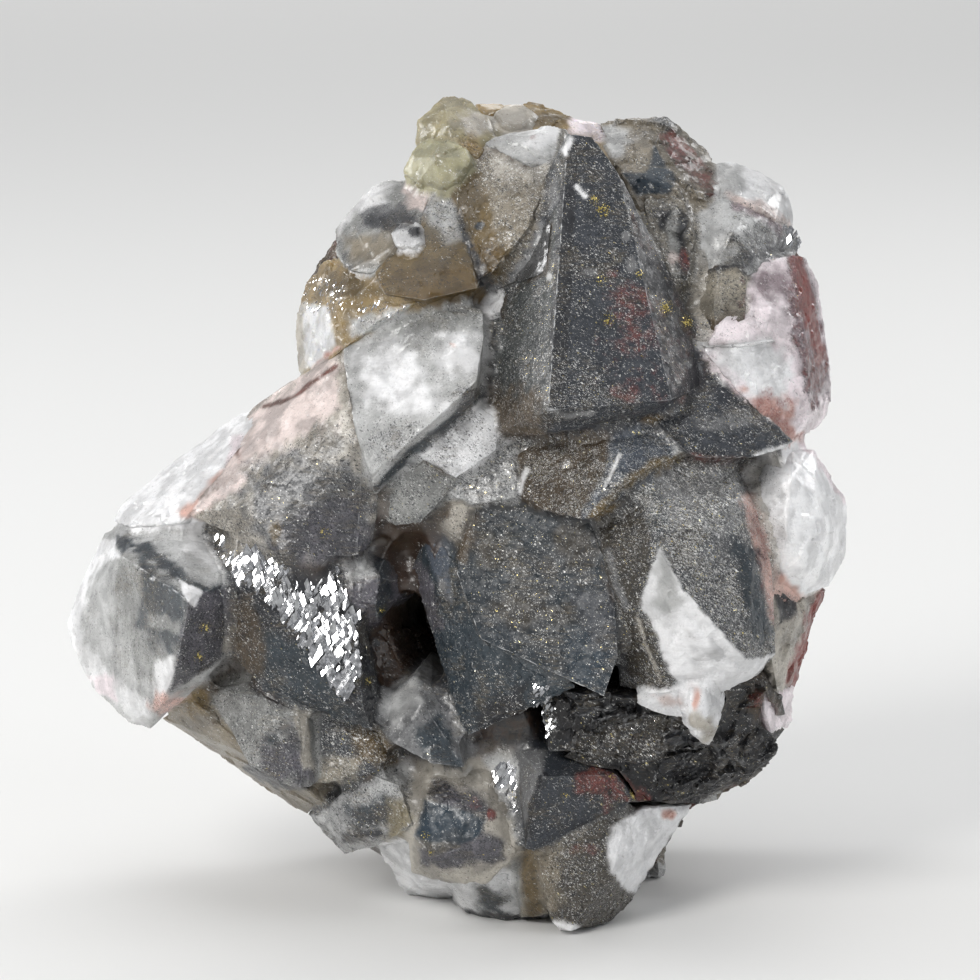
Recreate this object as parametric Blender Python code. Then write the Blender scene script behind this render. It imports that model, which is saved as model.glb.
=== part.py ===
"""Hematite included calcite specimen: a cluster of intergrown calcite crystals on a crust of red rock.

Every crystal is the convex hull of its named corners, which is what flat faces make, and all of
them are joined into one solid. The rock is a second solid behind and below them.
Sizes are in millimetres until metres() turns them into Blender's units. +Z is up and -Y faces front.
"""

import math
import random

import bmesh
import bpy
from mathutils import Vector, bvhtree, geometry

# Sizes that drive the rest, in millimetres and degrees
MM = 0.001
LOOK_DOWN = math.radians(10)
VIEW_DISTANCE = 600
VIEW_ACROSS = 4.25
VIEW_UP = 55.75
FLOOR = 1.98
CENTRE_X = -0.2
CENTRE_Y = 15.3
ROOT_GIRTH = 6.0
SEAM = 0.35
BASE_DEPTH = 30.0
SPAN = 200.0


# Points in space
def seen(across, up, out):
    """A corner read across and up in the front view, standing out toward the viewer."""
    pull = 1 - out / VIEW_DISTANCE
    side = VIEW_ACROSS + (across - VIEW_ACROSS) * pull
    rise = VIEW_UP + (up - VIEW_UP) * pull
    depth = rise * math.sin(LOOK_DOWN) - out * math.cos(LOOK_DOWN)
    height = rise * math.cos(LOOK_DOWN) + out * math.sin(LOOK_DOWN)
    return Vector((side - CENTRE_X, depth - CENTRE_Y, height - FLOOR))


def inside(x, y, z):
    """A point in the body of the specimen, given straight in world directions."""
    return Vector((x - CENTRE_X, y - CENTRE_Y, z))


def around(centre, girth):
    """Six points about a centre, for the buried root of a crystal."""
    reach = (Vector((1, 0, 0)), Vector((0, 1, 0)), Vector((0, 0, 1)))
    return [centre + sign * girth * way for way in reach for sign in (-1, 1)]


# Crystals, each as its corners in the front view and the centre of its root
CRYSTALS = {
    "spire": (
        [(14, 100.3, 8), (17, 99.8, 7.7), (20.3, 95.5, 9.1), (27, 67, 21.5), (11.5, 65.7, 25),
         (31, 74, 9), (31.2, 69, 11), (9, 90.5, 6), (3.9, 81.2, 5), (3.5, 76, 7), (4.2, 69, 10),
         (5, 62.8, 13), (11.1, 62.6, 20), (15.5, 63.8, 20), (24, 65.2, 18)],
        (15, 22, 70),
    ),
    "spire_skin": (
        [(9.2, 89.6, 7.5), (7.7, 89.1, 6.5), (5, 85.2, 5.5), (3.7, 81.4, 6), (4.8, 80.7, 8),
         (11.2, 83, 14.5),
         (11.8, 89, 12)],
        (12, 16, 78),
    ),
    "spire_chip": (
        [(6.1, 80.9, 8.6), (4.2, 79.6, 7.6), (3, 77, 7.4), (3.7, 75.2, 8.2), (6.2, 75.8, 10.6)],
        (10, 14, 72),
    ),
    "honey_upper": (
        [(-5.2, 99.2, -1), (-5, 102, -2), (-3.5, 103.4, -3), (-1.8, 105.1, -4), (0, 105.3, -4),
         (2, 104.5, -3),
         (4, 102.4, -1), (5, 100, 1), (3, 97, 4), (0, 96.5, 4), (-3, 97, 2), (-1, 101.5, 3)],
        (2, 24, 90),
    ),
    "honey_lower": (
        [(-6.8, 95.4, 0), (-6.1, 97.5, 0), (-5, 99.1, 0), (-3, 99.9, 2), (-0.5, 99.6, 4), (1, 98.8, 5),
         (1.6, 97.2, 6), (0, 94.7, 7), (-1.8, 93.6, 6), (-5, 94.1, 3), (-2.2, 97.2, 6.6)],
        (2, 22, 86),
    ),
    "top_band": (
        [(2, 104.3, -8), (8.6, 104.3, -9), (10, 103.4, -9), (14, 102.9, -9), (20, 100.9, -8), (19, 97, -1),
         (4, 97, 0), (5, 102, -3), (12, 102.2, -4)],
        (12, 30, 84),
    ),
    "top_lump": (
        [(4.8, 102.8, -3), (6, 103.9, -5), (8.4, 104.2, -5), (10, 103, -4), (8.5, 101.6, -1),
         (5.8, 101.6, -1)],
        (9, 24, 92),
    ),
    "white_top": (
        [(3, 99, 2), (5.5, 100, 2), (9, 100.9, 1), (12, 101.4, 0.5), (13.8, 100.9, 1), (14, 96, 6),
         (8.5, 96.5, 6.5), (9.5, 100, 3.4)],
        (12, 20, 88),
    ),
    "brown_sparkly": (
        [(0.4, 96.6, 3), (3.5, 99, 2.4), (8.5, 98, 4.6), (12.5, 96, 6), (9, 88.5, 12), (4.4, 82.8, 12.4),
         (3.4, 86.6, 10.4), (0, 92, 6.8)],
        (10, 20, 80),
    ),
    "crown_right": (
        [(17.5, 101.9, -7), (20, 101.1, -6), (22, 101.1, -7), (25, 102.1, -8), (26.4, 102.5, -8),
         (28, 101.6, -9), (30, 99.1, -9), (32.4, 96.9, -8), (33, 92.5, -2), (29, 90, 3), (23, 90, 5),
         (20.5, 95.5, 3), (24.6, 98.3, -1), (27.8, 93.4, 2.8)],
        (26, 24, 82),
    ),
    "mottled": (
        [(23.6, 92.6, 4.5), (28.8, 92.2, 4), (30, 87, 6), (29, 82, 8.5), (27, 80.5, 8.5), (24, 86, 8)],
        (27, 20, 76),
    ),
    "white_cleavage": (
        [(32.4, 96.8, -7), (34.5, 97.1, -8), (35.8, 96.1, -7), (38, 95.5, -8), (41, 93.7, -8),
         (41.8, 91.8, -9), (42.3, 90, -9), (42.2, 88.6, -8), (40, 89.4, -1), (38, 91, 0.6),
         (35.5, 92.7, 0.6),
         (33, 92.4, 0.4)],
        (34, 24, 82),
    ),
    "pale_tip": (
        [(29, 86.7, 4), (30.2, 89.4, 3), (33.2, 92.3, 1), (36, 91.1, 1), (38.5, 90, 0), (42, 88, -4),
         (43, 87, -6), (42.5, 85.5, -4), (38.5, 83.4, 4), (36.5, 82.6, 6.4), (32, 82.8, 6),
         (34.6, 88, 6.4)],
        (36, 24, 78),
    ),
    "beige_block": (
        [(28.6, 84, 2), (28.4, 77, 5), (31.9, 83, 6.4), (33, 83.8, 6.6), (35.3, 84, 6.6), (36.4, 82.8, 7),
         (36.1, 76.4, 9.6), (32.4, 75.6, 10), (32.3, 79, 8.6)],
        (33, 24, 74),
    ),
    "white_ledge": (
        [(30.4, 75.5, 7), (36, 75.1, 9), (40.2, 74.4, 9), (36, 73.7, 12.4), (31.4, 73.6, 12.4),
         (30, 74.2, 11)],
        (34, 20, 70),
    ),
    "pink_block": (
        [(36.2, 83, 5), (38.5, 84.4, 4), (42.3, 85.2, 1), (43.6, 85, -2), (45.3, 82, -5), (46, 76, -6),
         (46.7, 72.5, -6), (47, 68, -5), (46.6, 65.5, -4), (45.8, 64, -2), (44, 62.6, 2), (41.5, 62, 9),
         (38, 65, 12.4), (34, 69.5, 13.4), (31, 73.2, 12.4), (36.4, 76, 10), (43.4, 75, 5), (44.5, 66, 6)],
        (36, 24, 70),
    ),
    "dark_wedge": (
        [(23.6, 65.4, 16), (28, 67.2, 13), (31, 69.1, 11.4), (34, 69.6, 11.4), (36, 67.5, 12),
         (40, 63.9, 12.6), (42.2, 61.8, 11.4), (41.2, 61, 12), (36.8, 59.7, 15.4), (29.4, 59.9, 18),
         (28.4, 63, 18.4)],
        (31, 18, 62),
    ),
    "band_crystal": (
        [(7.7, 60.2, 13), (8, 55, 15.4), (11, 53.1, 18), (12, 63.5, 12.4), (20, 63.4, 13.6),
         (20.3, 61.5, 19),
         (15.7, 52, 21.4), (17.2, 52.2, 21.6), (22, 63.8, 15), (23.5, 64.3, 14.4), (26, 63.4, 14.4),
         (28.5, 63, 14.6), (29.2, 61, 16.4), (24, 58.4, 19.6), (21, 56.3, 21)],
        (18, 16, 58),
    ),
    "dotted_cream": (
        [(2.3, 66.6, 13), (5.1, 64.6, 13.4), (5.1, 60.8, 14.6), (0, 57.2, 14.4), (-3, 59.4, 15.4),
         (-5.6, 60, 12.4), (0, 65.4, 12.8)],
        (2, 18, 62),
    ),
    "grey_cream": (
        [(-3, 59.6, 14.6), (0.2, 57.3, 13.8), (-1, 55.3, 13), (-4.5, 51.7, 11.4), (-7.5, 51.3, 10.4),
         (-10.2, 53, 9), (-10, 55.6, 10), (-5.3, 60.2, 12.6)],
        (-3, 18, 56),
    ),
    "speckled_fan": (
        [(-0.4, 57.2, 12.8), (5, 60.7, 12.4), (8, 60.4, 13), (7.7, 54.8, 15), (2, 53.9, 14),
         (-1.4, 55.4, 12.6)],
        (4, 18, 56),
    ),
    "cream_wedge": (
        [(-2.6, 54, 10), (0.5, 55.2, 12), (2.6, 54, 12.6), (1.8, 48.6, 11.8), (-2.6, 51.6, 9.6)],
        (1, 18, 50),
    ),
    "smoky_white": (
        [(-15.2, 88.3, -4), (-14, 89.3, -4), (-12.8, 91.3, -4), (-11.5, 93.1, -4), (-10, 94.1, -4),
         (-8.5, 94.7, -4), (-6.8, 94.7, -3), (-4, 93.5, 1.6), (-3.3, 92.5, 3.6), (-4.6, 88.5, 7.6),
         (-5, 86.4, 8.6), (-7.5, 86.4, 9), (-10.5, 82.7, 8), (-13.5, 83.2, 4.6), (-15.1, 85.1, 0)],
        (-4, 22, 82),
    ),
    "smoky_bump": (
        [(-8.2, 88, 7.4), (-7, 89.3, 7.4), (-4.8, 88.9, 8), (-4.3, 86.6, 9.6), (-5.4, 85.8, 10.4),
         (-7.6, 86.3, 10)],
        (-2, 20, 80),
    ),
    "grey_tipped": (
        [(-2, 93.7, 3), (-4.3, 90, 6), (-5, 87, 8), (-10.1, 83, 9.4), (-9.7, 81.2, 10), (0, 91.6, 4),
         (1.2, 88.6, 7.6), (4.3, 85.6, 6), (3.6, 81.3, 9), (2.6, 81, 12), (-4, 79.5, 14), (-9, 80.3, 11.6)],
        (-1, 20, 76),
    ),
    "honey_left": (
        [(-15, 84.7, -2), (-16.5, 84.3, -4), (-18.4, 82.3, -6), (-19.2, 80, -7), (-19.9, 77.5, -7),
         (-20.1, 75, -7), (-19.8, 72, -6), (-19.6, 70.2, -4), (-17, 71.2, 3), (-14, 73.4, 8),
         (-10, 76.8, 11),
         (-5, 79.2, 12), (-9.6, 81.3, 9.4), (-13.6, 83.3, 3), (-14.6, 79, 6.6)],
        (-6, 22, 72),
    ),
    "big_white": (
        [(-13.2, 76.3, 7), (-8, 77.6, 9), (-2.5, 78.9, 11), (2, 78.9, 11), (3.4, 78.2, 11.4), (3.5, 75, 14),
         (2.6, 69.4, 17.4), (-3, 64.2, 18), (-7.2, 60.6, 17), (-10.7, 57.6, 15), (2.8, 67.4, 14.6),
         (-3, 62.1, 15), (-6, 59.6, 14.6), (-10.2, 55.1, 12.4), (-14.2, 73.2, 8), (-13.2, 65, 12.4)],
        (-3, 18, 66),
    ),
    "pink_grey": (
        [(-14.2, 73.3, 6), (-17.2, 71.2, 3), (-21.3, 68.9, -4), (-21.7, 67, -4), (-25.5, 66, -4),
         (-29.4, 57.4, 5), (-34, 52.8, 5), (-27, 53.6, 10.4), (-24.4, 51.6, 11.6), (-22, 47.6, 12.4),
         (-12.4, 47.4, 12.4), (-10.4, 49, 11), (-9.6, 55.2, 11.6), (-11.6, 62, 13), (-13.2, 67, 12)],
        (-16, 18, 58),
    ),
    "white_rim": (
        [(-25.4, 66.1, -6), (-27.5, 65.1, -7), (-30, 63.4, -8), (-33, 60.4, -9), (-37, 57.1, -10),
         (-39, 56.2, -10), (-40.5, 55.4, -10), (-42, 53.9, -9), (-43.1, 51.8, -8), (-41, 51, 0),
         (-34.5, 51.6, 5.6), (-29, 57, 5.8), (-24.4, 65, 0.6), (-35, 55, 3)],
        (-22, 18, 52),
    ),
    "phantom_left": (
        [(-44, 50.4, -8), (-41, 52, -5), (-34.5, 52.1, 1), (-32, 50.3, 3), (-27.4, 46.8, 6.4),
         (-25.9, 45.8, 6.4), (-26, 41, 8), (-28.3, 35.4, 8.4), (-31, 32.4, 9), (-35.6, 31, 10.6),
         (-36.8, 29, 9.4), (-38.3, 25.8, 2), (-41, 26.6, 0), (-42.8, 29.2, -3), (-45.3, 30.8, -6),
         (-46.6, 33.4, -9), (-48.3, 37, -11), (-48.7, 39, -11), (-47.8, 42, -11), (-46, 46, -11),
         (-33.3, 42, 17), (-35, 33.6, 14.4), (-41.6, 47.4, 5)],
        (-28, 16, 40),
    ),
    "glitter_point": (
        [(-31.6, 50.2, 3), (-25, 52.6, 7), (-17.5, 49, 9), (-12.6, 43.4, 9.6), (-9.8, 31, 10),
         (-10.5, 25.6, 12.6), (-11.6, 28.6, 15.6), (-27, 43.6, 13.4), (-28, 35, 8.4), (-24.5, 31.3, 8.6),
         (-20, 29, 9.6), (-15, 27.2, 11)],
        (-17, 14, 38),
    ),
    "nook": (
        [(-13.6, 41, 7), (-8.6, 39.4, 5), (-6.2, 33, 5), (-8.6, 28.6, 7), (-10.8, 26.6, 7.6)],
        (-8, 16, 32),
    ),
    "knob": (
        [(-14.6, 46, 8), (-13.4, 47.6, 8), (-11.6, 48.2, 8), (-9, 47, 8), (-7.9, 44.4, 8), (-8.2, 41.6, 8),
         (-9.8, 39.2, 8), (-12.4, 39, 8), (-14.4, 42, 8), (-12.6, 46, 11), (-9.8, 45, 11.4),
         (-10, 41.6, 11),
         (-12.6, 42, 11.4)],
        (-8, 14, 42),
    ),
    "speckled_left": (
        [(-31, 30.8, 4), (-25.4, 31.8, 7), (-24, 29.8, 9.6), (-18.6, 27.4, 9.6), (-17.6, 18.8, 8),
         (-19.4, 18.4, 10), (-21.6, 18.9, 9), (-26, 21.3, 7)],
        (-16, 14, 26),
    ),
    "left_rim": (
        [(-36.8, 27.4, -4), (-35.4, 26.7, -4), (-33.5, 28.2, -2), (-32, 26.5, -4), (-29, 23, -6),
         (-28, 21.8, -6), (-26, 21.4, -6), (-23.8, 18.7, -7), (-21, 16.5, -7), (-18.5, 15.2, -6),
         (-16.6, 16.6, 2), (-20, 19.4, 6), (-27, 23, 4.6), (-31, 29.4, 3), (-35, 31, 4)],
        (-18, 14, 28),
    ),
    "low_grey": (
        [(-18.8, 28, 7), (-10.2, 27, 8), (-8.6, 22, 8.6), (-10.8, 19.6, 7), (-17.8, 19, 6)],
        (-9, 14, 24),
    ),
    "dark_phantom": (
        [(-18.6, 15.2, -3), (-17.4, 14.8, 0), (-14.5, 17.6, 4.6), (-10.8, 20.2, 7), (-7.2, 18.9, 8.6),
         (-5.4, 14, 8.6), (-8.8, 11.8, 6), (-10, 11.2, 3), (-11.3, 11.1, 0), (-14, 10.2, -4),
         (-15, 11.7, -4),
         (-16.4, 13.4, -4), (-13.4, 12.4, 4.6)],
        (-5, 14, 16),
    ),
    "small_grey": (
        [(-9.8, 28.4, 8), (-9, 29.9, 8), (-5.3, 32.6, 8), (-3, 31, 9.4), (-0.4, 27.5, 10), (1, 21.1, 12.4),
         (-3, 21.6, 13), (-7.5, 23.9, 12.4), (-9.6, 26, 10.6), (-4.2, 29.2, 12)],
        (-3, 12, 26),
    ),
    "framed": (
        [(-4, 21.1, 6), (0, 21.6, 7), (4, 21.1, 7.4), (4.9, 19, 8.4), (7, 16, 9), (6.9, 13.5, 9.4),
         (7.6, 10.3, 9), (-5.2, 18.5, 6), (-5.9, 12, 6), (-5.6, 7.8, 5), (-1, 6.5, 7), (4, 6.3, 8),
         (-3.8, 17.6, 9.4), (0, 16.4, 10.6), (4, 14.8, 11.4), (2, 11.4, 11.8), (-3, 9.8, 10.4),
         (-5.2, 12.6, 8.6)],
        (0, 12, 14),
    ),
    "foot_left": (
        [(-10, 11.4, -4), (-9, 10.6, -6), (-8, 9.4, -8), (-7.2, 7.4, -10), (-6.6, 5.3, -12), (-5, 4.6, -13),
         (-3, 4.3, -13), (0.4, 4.2, -12.4), (2, 8, 4), (-3, 8, 4), (-6, 12, 4)],
        (0, 20, 8),
    ),
    "foot_mid": (
        [(-0.4, 4, -10), (0.7, 3.3, -8), (1.5, 2.6, -4), (3, 2.3, -2), (6, 1.9, 0.4), (9.8, 2, 0),
         (11.9, 2.4, -1), (12, 9, 5), (4, 7.4, 6.6), (-1, 8, 5)],
        (4, 18, 8),
    ),
    "honey_foot": (
        [(7, 12, 7), (7.4, 6, 6), (8, 2.2, 1.6), (11.8, 2.6, 4), (11, 8, 7.4), (10, 11, 8.4)],
        (9, 14, 8),
    ),
    "mirror_strip": (
        [(3.4, 22.6, 6), (6, 23.1, 7), (8.2, 20, 9), (8.5, 16, 10), (9.8, 10.5, 10.4), (8.2, 11.5, 9.6),
         (7, 15.4, 9.4), (4.8, 18, 8.6)],
        (7, 12, 18),
    ),
    "down_blade": (
        [(8, 23.1, 9), (10, 23.4, 9.6), (12.2, 22.2, 10), (20, 20.2, 8.6), (22.4, 17, 7), (14, 14.4, 9),
         (11, 12.9, 10), (9.6, 10.6, 10.8), (8.7, 10.9, 10.6), (7.9, 17, 9.6), (10.9, 19.9, 14),
         (9.1, 13, 13)],
        (14, 12, 20),
    ),
    "foot_right": (
        [(10, 10.7, 8), (11, 13.1, 8.4), (14, 14.9, 8.4), (18, 14.7, 8), (21, 14, 7), (24, 16, 4),
         (29.6, 16.5, -3), (27.8, 14.1, -3), (25.2, 11.4, -3), (24.4, 9.6, -2), (23.3, 6.7, -1),
         (22.4, 5.4, -1), (21, 3.1, 0), (19, 1.6, 2), (17.5, 1.3, 4), (14.4, 0.6, 8), (13, 0.6, 8),
         (12.2, 1.5, 7.6), (11.7, 2.4, 7), (19.6, 8, 8.6), (14, 9, 10)],
        (17, 16, 8),
    ),
    "sparkly_dome": (
        [(17.5, 52, 16), (18.6, 47, 19), (20.3, 41.5, 19), (21.8, 38, 18), (25.3, 30.7, 16.4),
         (19.5, 54.7, 16), (24, 58.5, 14.4), (29.2, 59.8, 12.4), (35, 58.2, 11), (37.7, 53.5, 11),
         (39.5, 46.5, 11), (39.8, 38.5, 11), (40, 35.2, 11), (38, 32.6, 12), (33, 30.1, 13.4),
         (27, 30.7, 15.4), (24.2, 55.6, 18.6), (25.2, 48.3, 24), (28.3, 43.5, 24), (32.5, 38.7, 22.4),
         (36.4, 34.6, 18.6), (22.8, 41.3, 20), (33.6, 54.6, 17.4), (37, 46, 17), (20.2, 37, 14),
         (20.6, 31, 12)],
        (30, 18, 46),
    ),
    "lens": (
        [(39, 58.8, 8), (42, 61, 6), (44.8, 60.8, 3), (45.6, 59, 1), (46.9, 57, -1), (48.7, 54.9, -3),
         (49, 52.5, -4), (48.7, 50.4, -4), (48.8, 48, -4), (47.9, 45.5, -3), (46.7, 43.8, -1), (43, 42, 4),
         (40.3, 43.8, 8), (38.3, 49, 10), (38, 54.4, 10), (42, 57.4, 11.4), (45, 55, 9), (46, 50, 8),
         (43.6, 46.4, 9.6), (41.4, 50, 12.4)],
        (34, 20, 50),
    ),
    "green_strip": (
        [(39.4, 43, 9), (45.8, 43, -1), (46.3, 43.4, -4), (45, 40.5, -4), (44, 37.5, -4), (42.6, 33.5, -4),
         (42.2, 31, -3), (40.2, 30.6, 6), (39.2, 36, 10), (43, 40, 5)],
        (32, 18, 40),
    ),
    "pink_foot": (
        [(38.6, 31.6, 7), (42.2, 31.2, -2), (41.9, 29.5, -3), (42.1, 27, -3), (41.5, 25.9, -2),
         (39.4, 25.6, 4), (38.6, 28, 7)],
        (32, 18, 34),
    ),
    "white_chip": (
        [(22.4, 29, 17), (28.2, 31, 17.4), (28.4, 27.2, 17.4), (25, 27.9, 18.6), (24, 30.4, 16)],
        (28, 8, 38),
    ),
    "stained_chip": (
        [(28.3, 26.4, 15.6), (28.8, 31, 17.6), (31.4, 30.6, 17.4), (32.9, 26, 14.4), (31.5, 23.4, 13.4),
         (29.8, 27, 18.2)],
        (30, 8, 38),
    ),
    "grey_plate": (
        [(2.4, 54.1, 12), (10, 53.3, 14.2), (16.6, 51.7, 16.4), (18.2, 48, 17.6), (19.7, 44.3, 18.4),
         (20.2, 35, 19.8), (18.5, 30, 19.8), (13.5, 32.5, 18), (8, 35, 16), (3.1, 37.1, 14.4),
         (1.7, 41, 13.4), (0.1, 45.3, 12.2), (0.6, 49, 11.8)],
        (12, 16, 44),
    ),
    "left_blade": (
        [(-3.4, 51.2, 8), (-0.8, 47.5, 10.4), (3, 37.5, 13.4), (10, 33.5, 15.6), (15, 31, 16.6),
         (-4.2, 48, 7), (-5.6, 46, 5), (-4.8, 42.7, 6), (-2.6, 38, 8), (-1, 33, 9.6), (0, 28, 11),
         (1.5, 25, 12), (6, 28.3, 14.4), (10.5, 31.3, 16), (-2.6, 44, 9.6)],
        (5, 14, 38),
    ),
}

# The body that the crystals grew from, as corners in the front view
BODY = {
    "body_top": [(-13, 86, -10), (-10, 92, -11), (-2, 99, -11), (8, 101.4, -13), (18, 100, -13),
                 (29, 98, -14),
                 (39, 92, -14), (40.6, 86, -13), (44, 78, -12), (44.4, 68, -11), (42, 62, -9),
                 (-14, 74, -9),
                 (-16, 80, -10), (-6, 84, 2), (0, 92, 0), (14, 94, 2), (28, 90, 0), (36, 80, 2),
                 (40, 66, 3),
                 (0, 68, 8), (20, 66, 10), (-9, 84, -16), (2, 96, -18), (24, 96, -19), (36, 88, -17),
                 (41, 70, -18), (0, 66, -17)],
    "body_middle": [(-22, 64, -9), (-16, 70, -9), (42, 62, -9), (46, 55, -9), (46, 47, -8), (42, 40, -7),
                    (-14, 62, 8), (-12, 52, 8), (2, 62, 8), (34, 62, 8), (38, 52, 7), (38, 40, 7),
                    (20, 48, 12), (8, 46, 8), (0, 52, 6), (14, 34, 12), (26, 36, 12), (-14, 62, -18),
                    (38, 62, -16), (40, 44, -18), (20, 34, -15), (-6, 44, -16)],
    "body_left": [(-42, 48, -12), (-45, 38, -12), (-42, 31, -9), (-36, 29, -7), (-30, 27, -7),
                  (-24, 22, -8),
                  (-38, 54, -12), (-28, 61, -11), (-40, 44, -2), (-34, 36, 4), (-30, 50, 0), (-20, 34, 6),
                  (-18, 50, 6), (-8, 52, 6), (-8, 28, 5), (-38, 44, -17), (-30, 34, -15), (-20, 28, -17),
                  (-26, 54, -16), (-2, 52, -17), (-4, 28, -15)],
    "body_low": [(-16, 14, -7), (-9, 12, -9), (-6, 7, -12), (0, 5, -12), (12, 3, -8), (20, 4, -6),
                 (24, 12, -6),
                 (24, 17, -6), (-6, 16, 4), (2, 10, 5), (10, 12, 6), (16, 10, 6), (-8, 28, 5), (-14, 22, 3),
                 (8, 30, 10), (10, 20, 6), (-10, 16, -15), (0, 6, -17), (18, 6, -14), (18, 30, -15),
                 (-8, 34, -13)],
}

# Hollows between the crystals: where the pit opens, in the front view, and the point it narrows to
PITS = {
    "red_hollow": ([(-9.6, 51, 24), (-3, 51, 24), (-2, 41, 24), (-8.6, 40, 24)], (-5, 7, 46)),
    "black_hollow": ([(-9, 42, 24), (-2.6, 42, 24), (0, 30, 24), (-7, 31, 24)], (-3, 8, 37)),
    "dark_gap": ([(-2, 29, 24), (3.4, 28, 24), (3, 20.8, 24), (-0.6, 21, 24)], (2, 5, 24)),
}

# Red rock: the crust at the back, as its rim in the front view and its back in world directions
ROCK_BACK = {
    "upper_crust": (
        [(-10, 90, -12), (-14, 80, -11), (-12, 68, -10), (0, 97, -13), (18, 98.4, -15), (30, 95.6, -15),
         (39, 89, -14), (43.4, 76, -13), (43.6, 65, -11), (30, 62, -10)],
        [(-3, 36, 82), (8, 37, 88), (21, 38, 89), (31, 36, 84), (37, 38, 66), (2, 40, 58)],
    ),
    "middle_crust": (
        [(-39, 46, -13), (-40, 37, -13), (-32, 30, -10), (-29, 58, -12), (-14, 66, -11), (42, 64, -11),
         (45, 54, -11), (44, 44, -10), (-20, 24, -10), (40, 30, -8), (0, 24, -10)],
        [(-27, 34, 44), (-26, 34, 30), (-18, 38, 22), (-8, 41, 55), (31, 41, 58), (37, 38, 42),
         (10, 42, 36)],
    ),
    "lower_crust": (
        [(-21, 21, -11), (-7, 10.4, -14), (20, 7.4, -11), (25.6, 14, -9), (37, 22, -9), (-16, 32, -10),
         (38, 34, -9)],
        [(-12, 39, 16), (-6, 37, 4), (18, 38, 4), (26, 39, 12), (30, 41, 26), (20, 42, 34), (-8, 41, 34)],
    ),
}
ROCK_FRONT = {
    "rough_ground": [(11, 21, 9), (20, 26.6, 11), (28, 27, 10), (36, 27.6, 7), (39.8, 25, 3), (39.9, 23, 0),
                     (39.2, 21.2, -2), (37, 19.4, -4), (33, 17.4, -5), (29.5, 16.3, -5), (24, 16, 4),
                     (14, 18, 8)],
    "rough_ridge": [(10.4, 31, 14), (18.5, 30, 15.6), (24, 29.6, 15), (30, 27, 13), (33.6, 24, 9.4),
                    (22, 21.6, 11.6), (11.6, 23.4, 12)],
    "dark_side": [(33, 31, 12), (38.6, 33, 9), (41, 30, 4), (41.4, 26, -2), (38, 22, 2), (33, 22, 8),
                  (32, 27, 11)],
}
ROCK_ROOT = (26, 26, 26)
ROCK_PIT = ([(26.2, 24.8, 20), (28, 25.8, 20), (30.8, 24.2, 20), (29, 23.5, 20), (27, 23.6, 20)],
            (28.4, -6.5, 23.4))
# Angular lumps round the back and sides: height, middle of the crust there, first turn in degrees
LUMP_ROWS = [(9, 8, -62), (21, 8, -78), (32, 4, -66), (43, 4, -80), (54, 9, -66), (65, 18, -80),
             (77, 17, -68),
             (87, 17, -44)]
LUMP_TURN = 31
LUMP_AXIS = 14.6
LUMP_SIZE = (6.5, 10.5)
LUMP_SUNK = 0.5
LUMP_CORNERS = 14
LUMP_SEED = 11
# Feet of the rock that end flat on the floor
FEET = [(-3, 34, 3), (19, 33, 3), (8, 38, 3.4), (22, 22, 3)]
FOOT_SIZE = 5.5

# Cleavage steps and grains on the faces: region in the front view, count, length, width, lift, grain angle
STEPS = {
    "glitter_belt": ([(-30, 49), (-25, 50), (-17.6, 47.6), (-13, 42.6), (-12, 32), (-20, 36)],
                     16, (3, 5.5), (1.8, 3), 0.9, -62),
    "glitter_low": ([(-26, 40), (-20, 36), (-14, 30), (-24, 33)], 3, (3, 5), (2, 3), 0.6, -50),
    "honey_glints": ([(-18, 80), (-12, 80.4), (-8, 79.2), (-13, 76.6), (-17.6, 73)], 7, (2.6, 4.6),
                     (1.4, 2.2), 0.7, 35),
    "dome_top": ([(22, 54), (26, 56.6), (34, 56), (36, 50), (33, 45), (27.4, 50)], 9, (2.6, 5), (2, 3.2),
                 0.7, 60),
    "brown_face": ([(9.6, 58), (12, 61.6), (18, 62), (14.6, 55), (11, 55)], 6, (2, 3.6), (1.2, 2.2),
                   0.6, 70),
    "cleavage_steps": ([(25.6, 43), (31, 37.6), (35, 33.6), (30, 32), (27, 35)], 5, (4, 7), (2, 3.4),
                       0.6, -50),
    "pink_sparkle": ([(37.4, 81), (41.6, 82.6), (42.4, 72), (40, 66.6), (36, 70)], 8, (2.4, 4.4), (1.6, 3),
                     0.7, 80),
    "phantom_steps": ([(-45, 42), (-42.6, 32), (-38, 32), (-38, 40), (-40, 45)], 5, (4, 7), (2, 3.4),
                      0.6, -70),
    "white_steps": ([(-11.6, 73.6), (0, 76), (0.4, 70.6), (-4, 66.6), (-10.4, 66)], 6, (4, 7), (2, 3.6),
                    0.6, 38),
    "foot_grains": ([(13, 12), (19.6, 12.6), (22.4, 10), (19, 4.6), (15, 4)], 4, (2.6, 4.6), (1.8, 2.8),
                    0.6, 75),
}
ROCK_STEPS = {
    "ridge_grains": ([(12, 30), (19, 29), (29, 26.4), (31, 24), (22, 22.6), (13, 24.4)],
                     11, (2.6, 5), (2, 3.6), 1.4, 10),
    "ground_grains": ([(17, 20), (25, 21), (37.4, 24), (37.6, 21.6), (33, 18.8), (26, 18.4)],
                      9, (2.6, 5), (2, 3.6), 1.4, 20),
}
STEP_SINK = 1.4
STEP_SEED = 5

COLOURS = {
    "grey_calcite": ((0.30, 0.31, 0.32, 1), 0.35, 0.0),
    "dark_red_rock": ((0.20, 0.09, 0.07, 1), 0.7, 0.0),
}


# Scene and meshes
def clear_scene():
    for thing in list(bpy.data.objects):
        bpy.data.objects.remove(thing, do_unlink=True)


def new_collection(name, hidden=False):
    made = bpy.data.collections.new(name)
    bpy.context.scene.collection.children.link(made)
    made.hide_render = hidden
    return made


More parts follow.
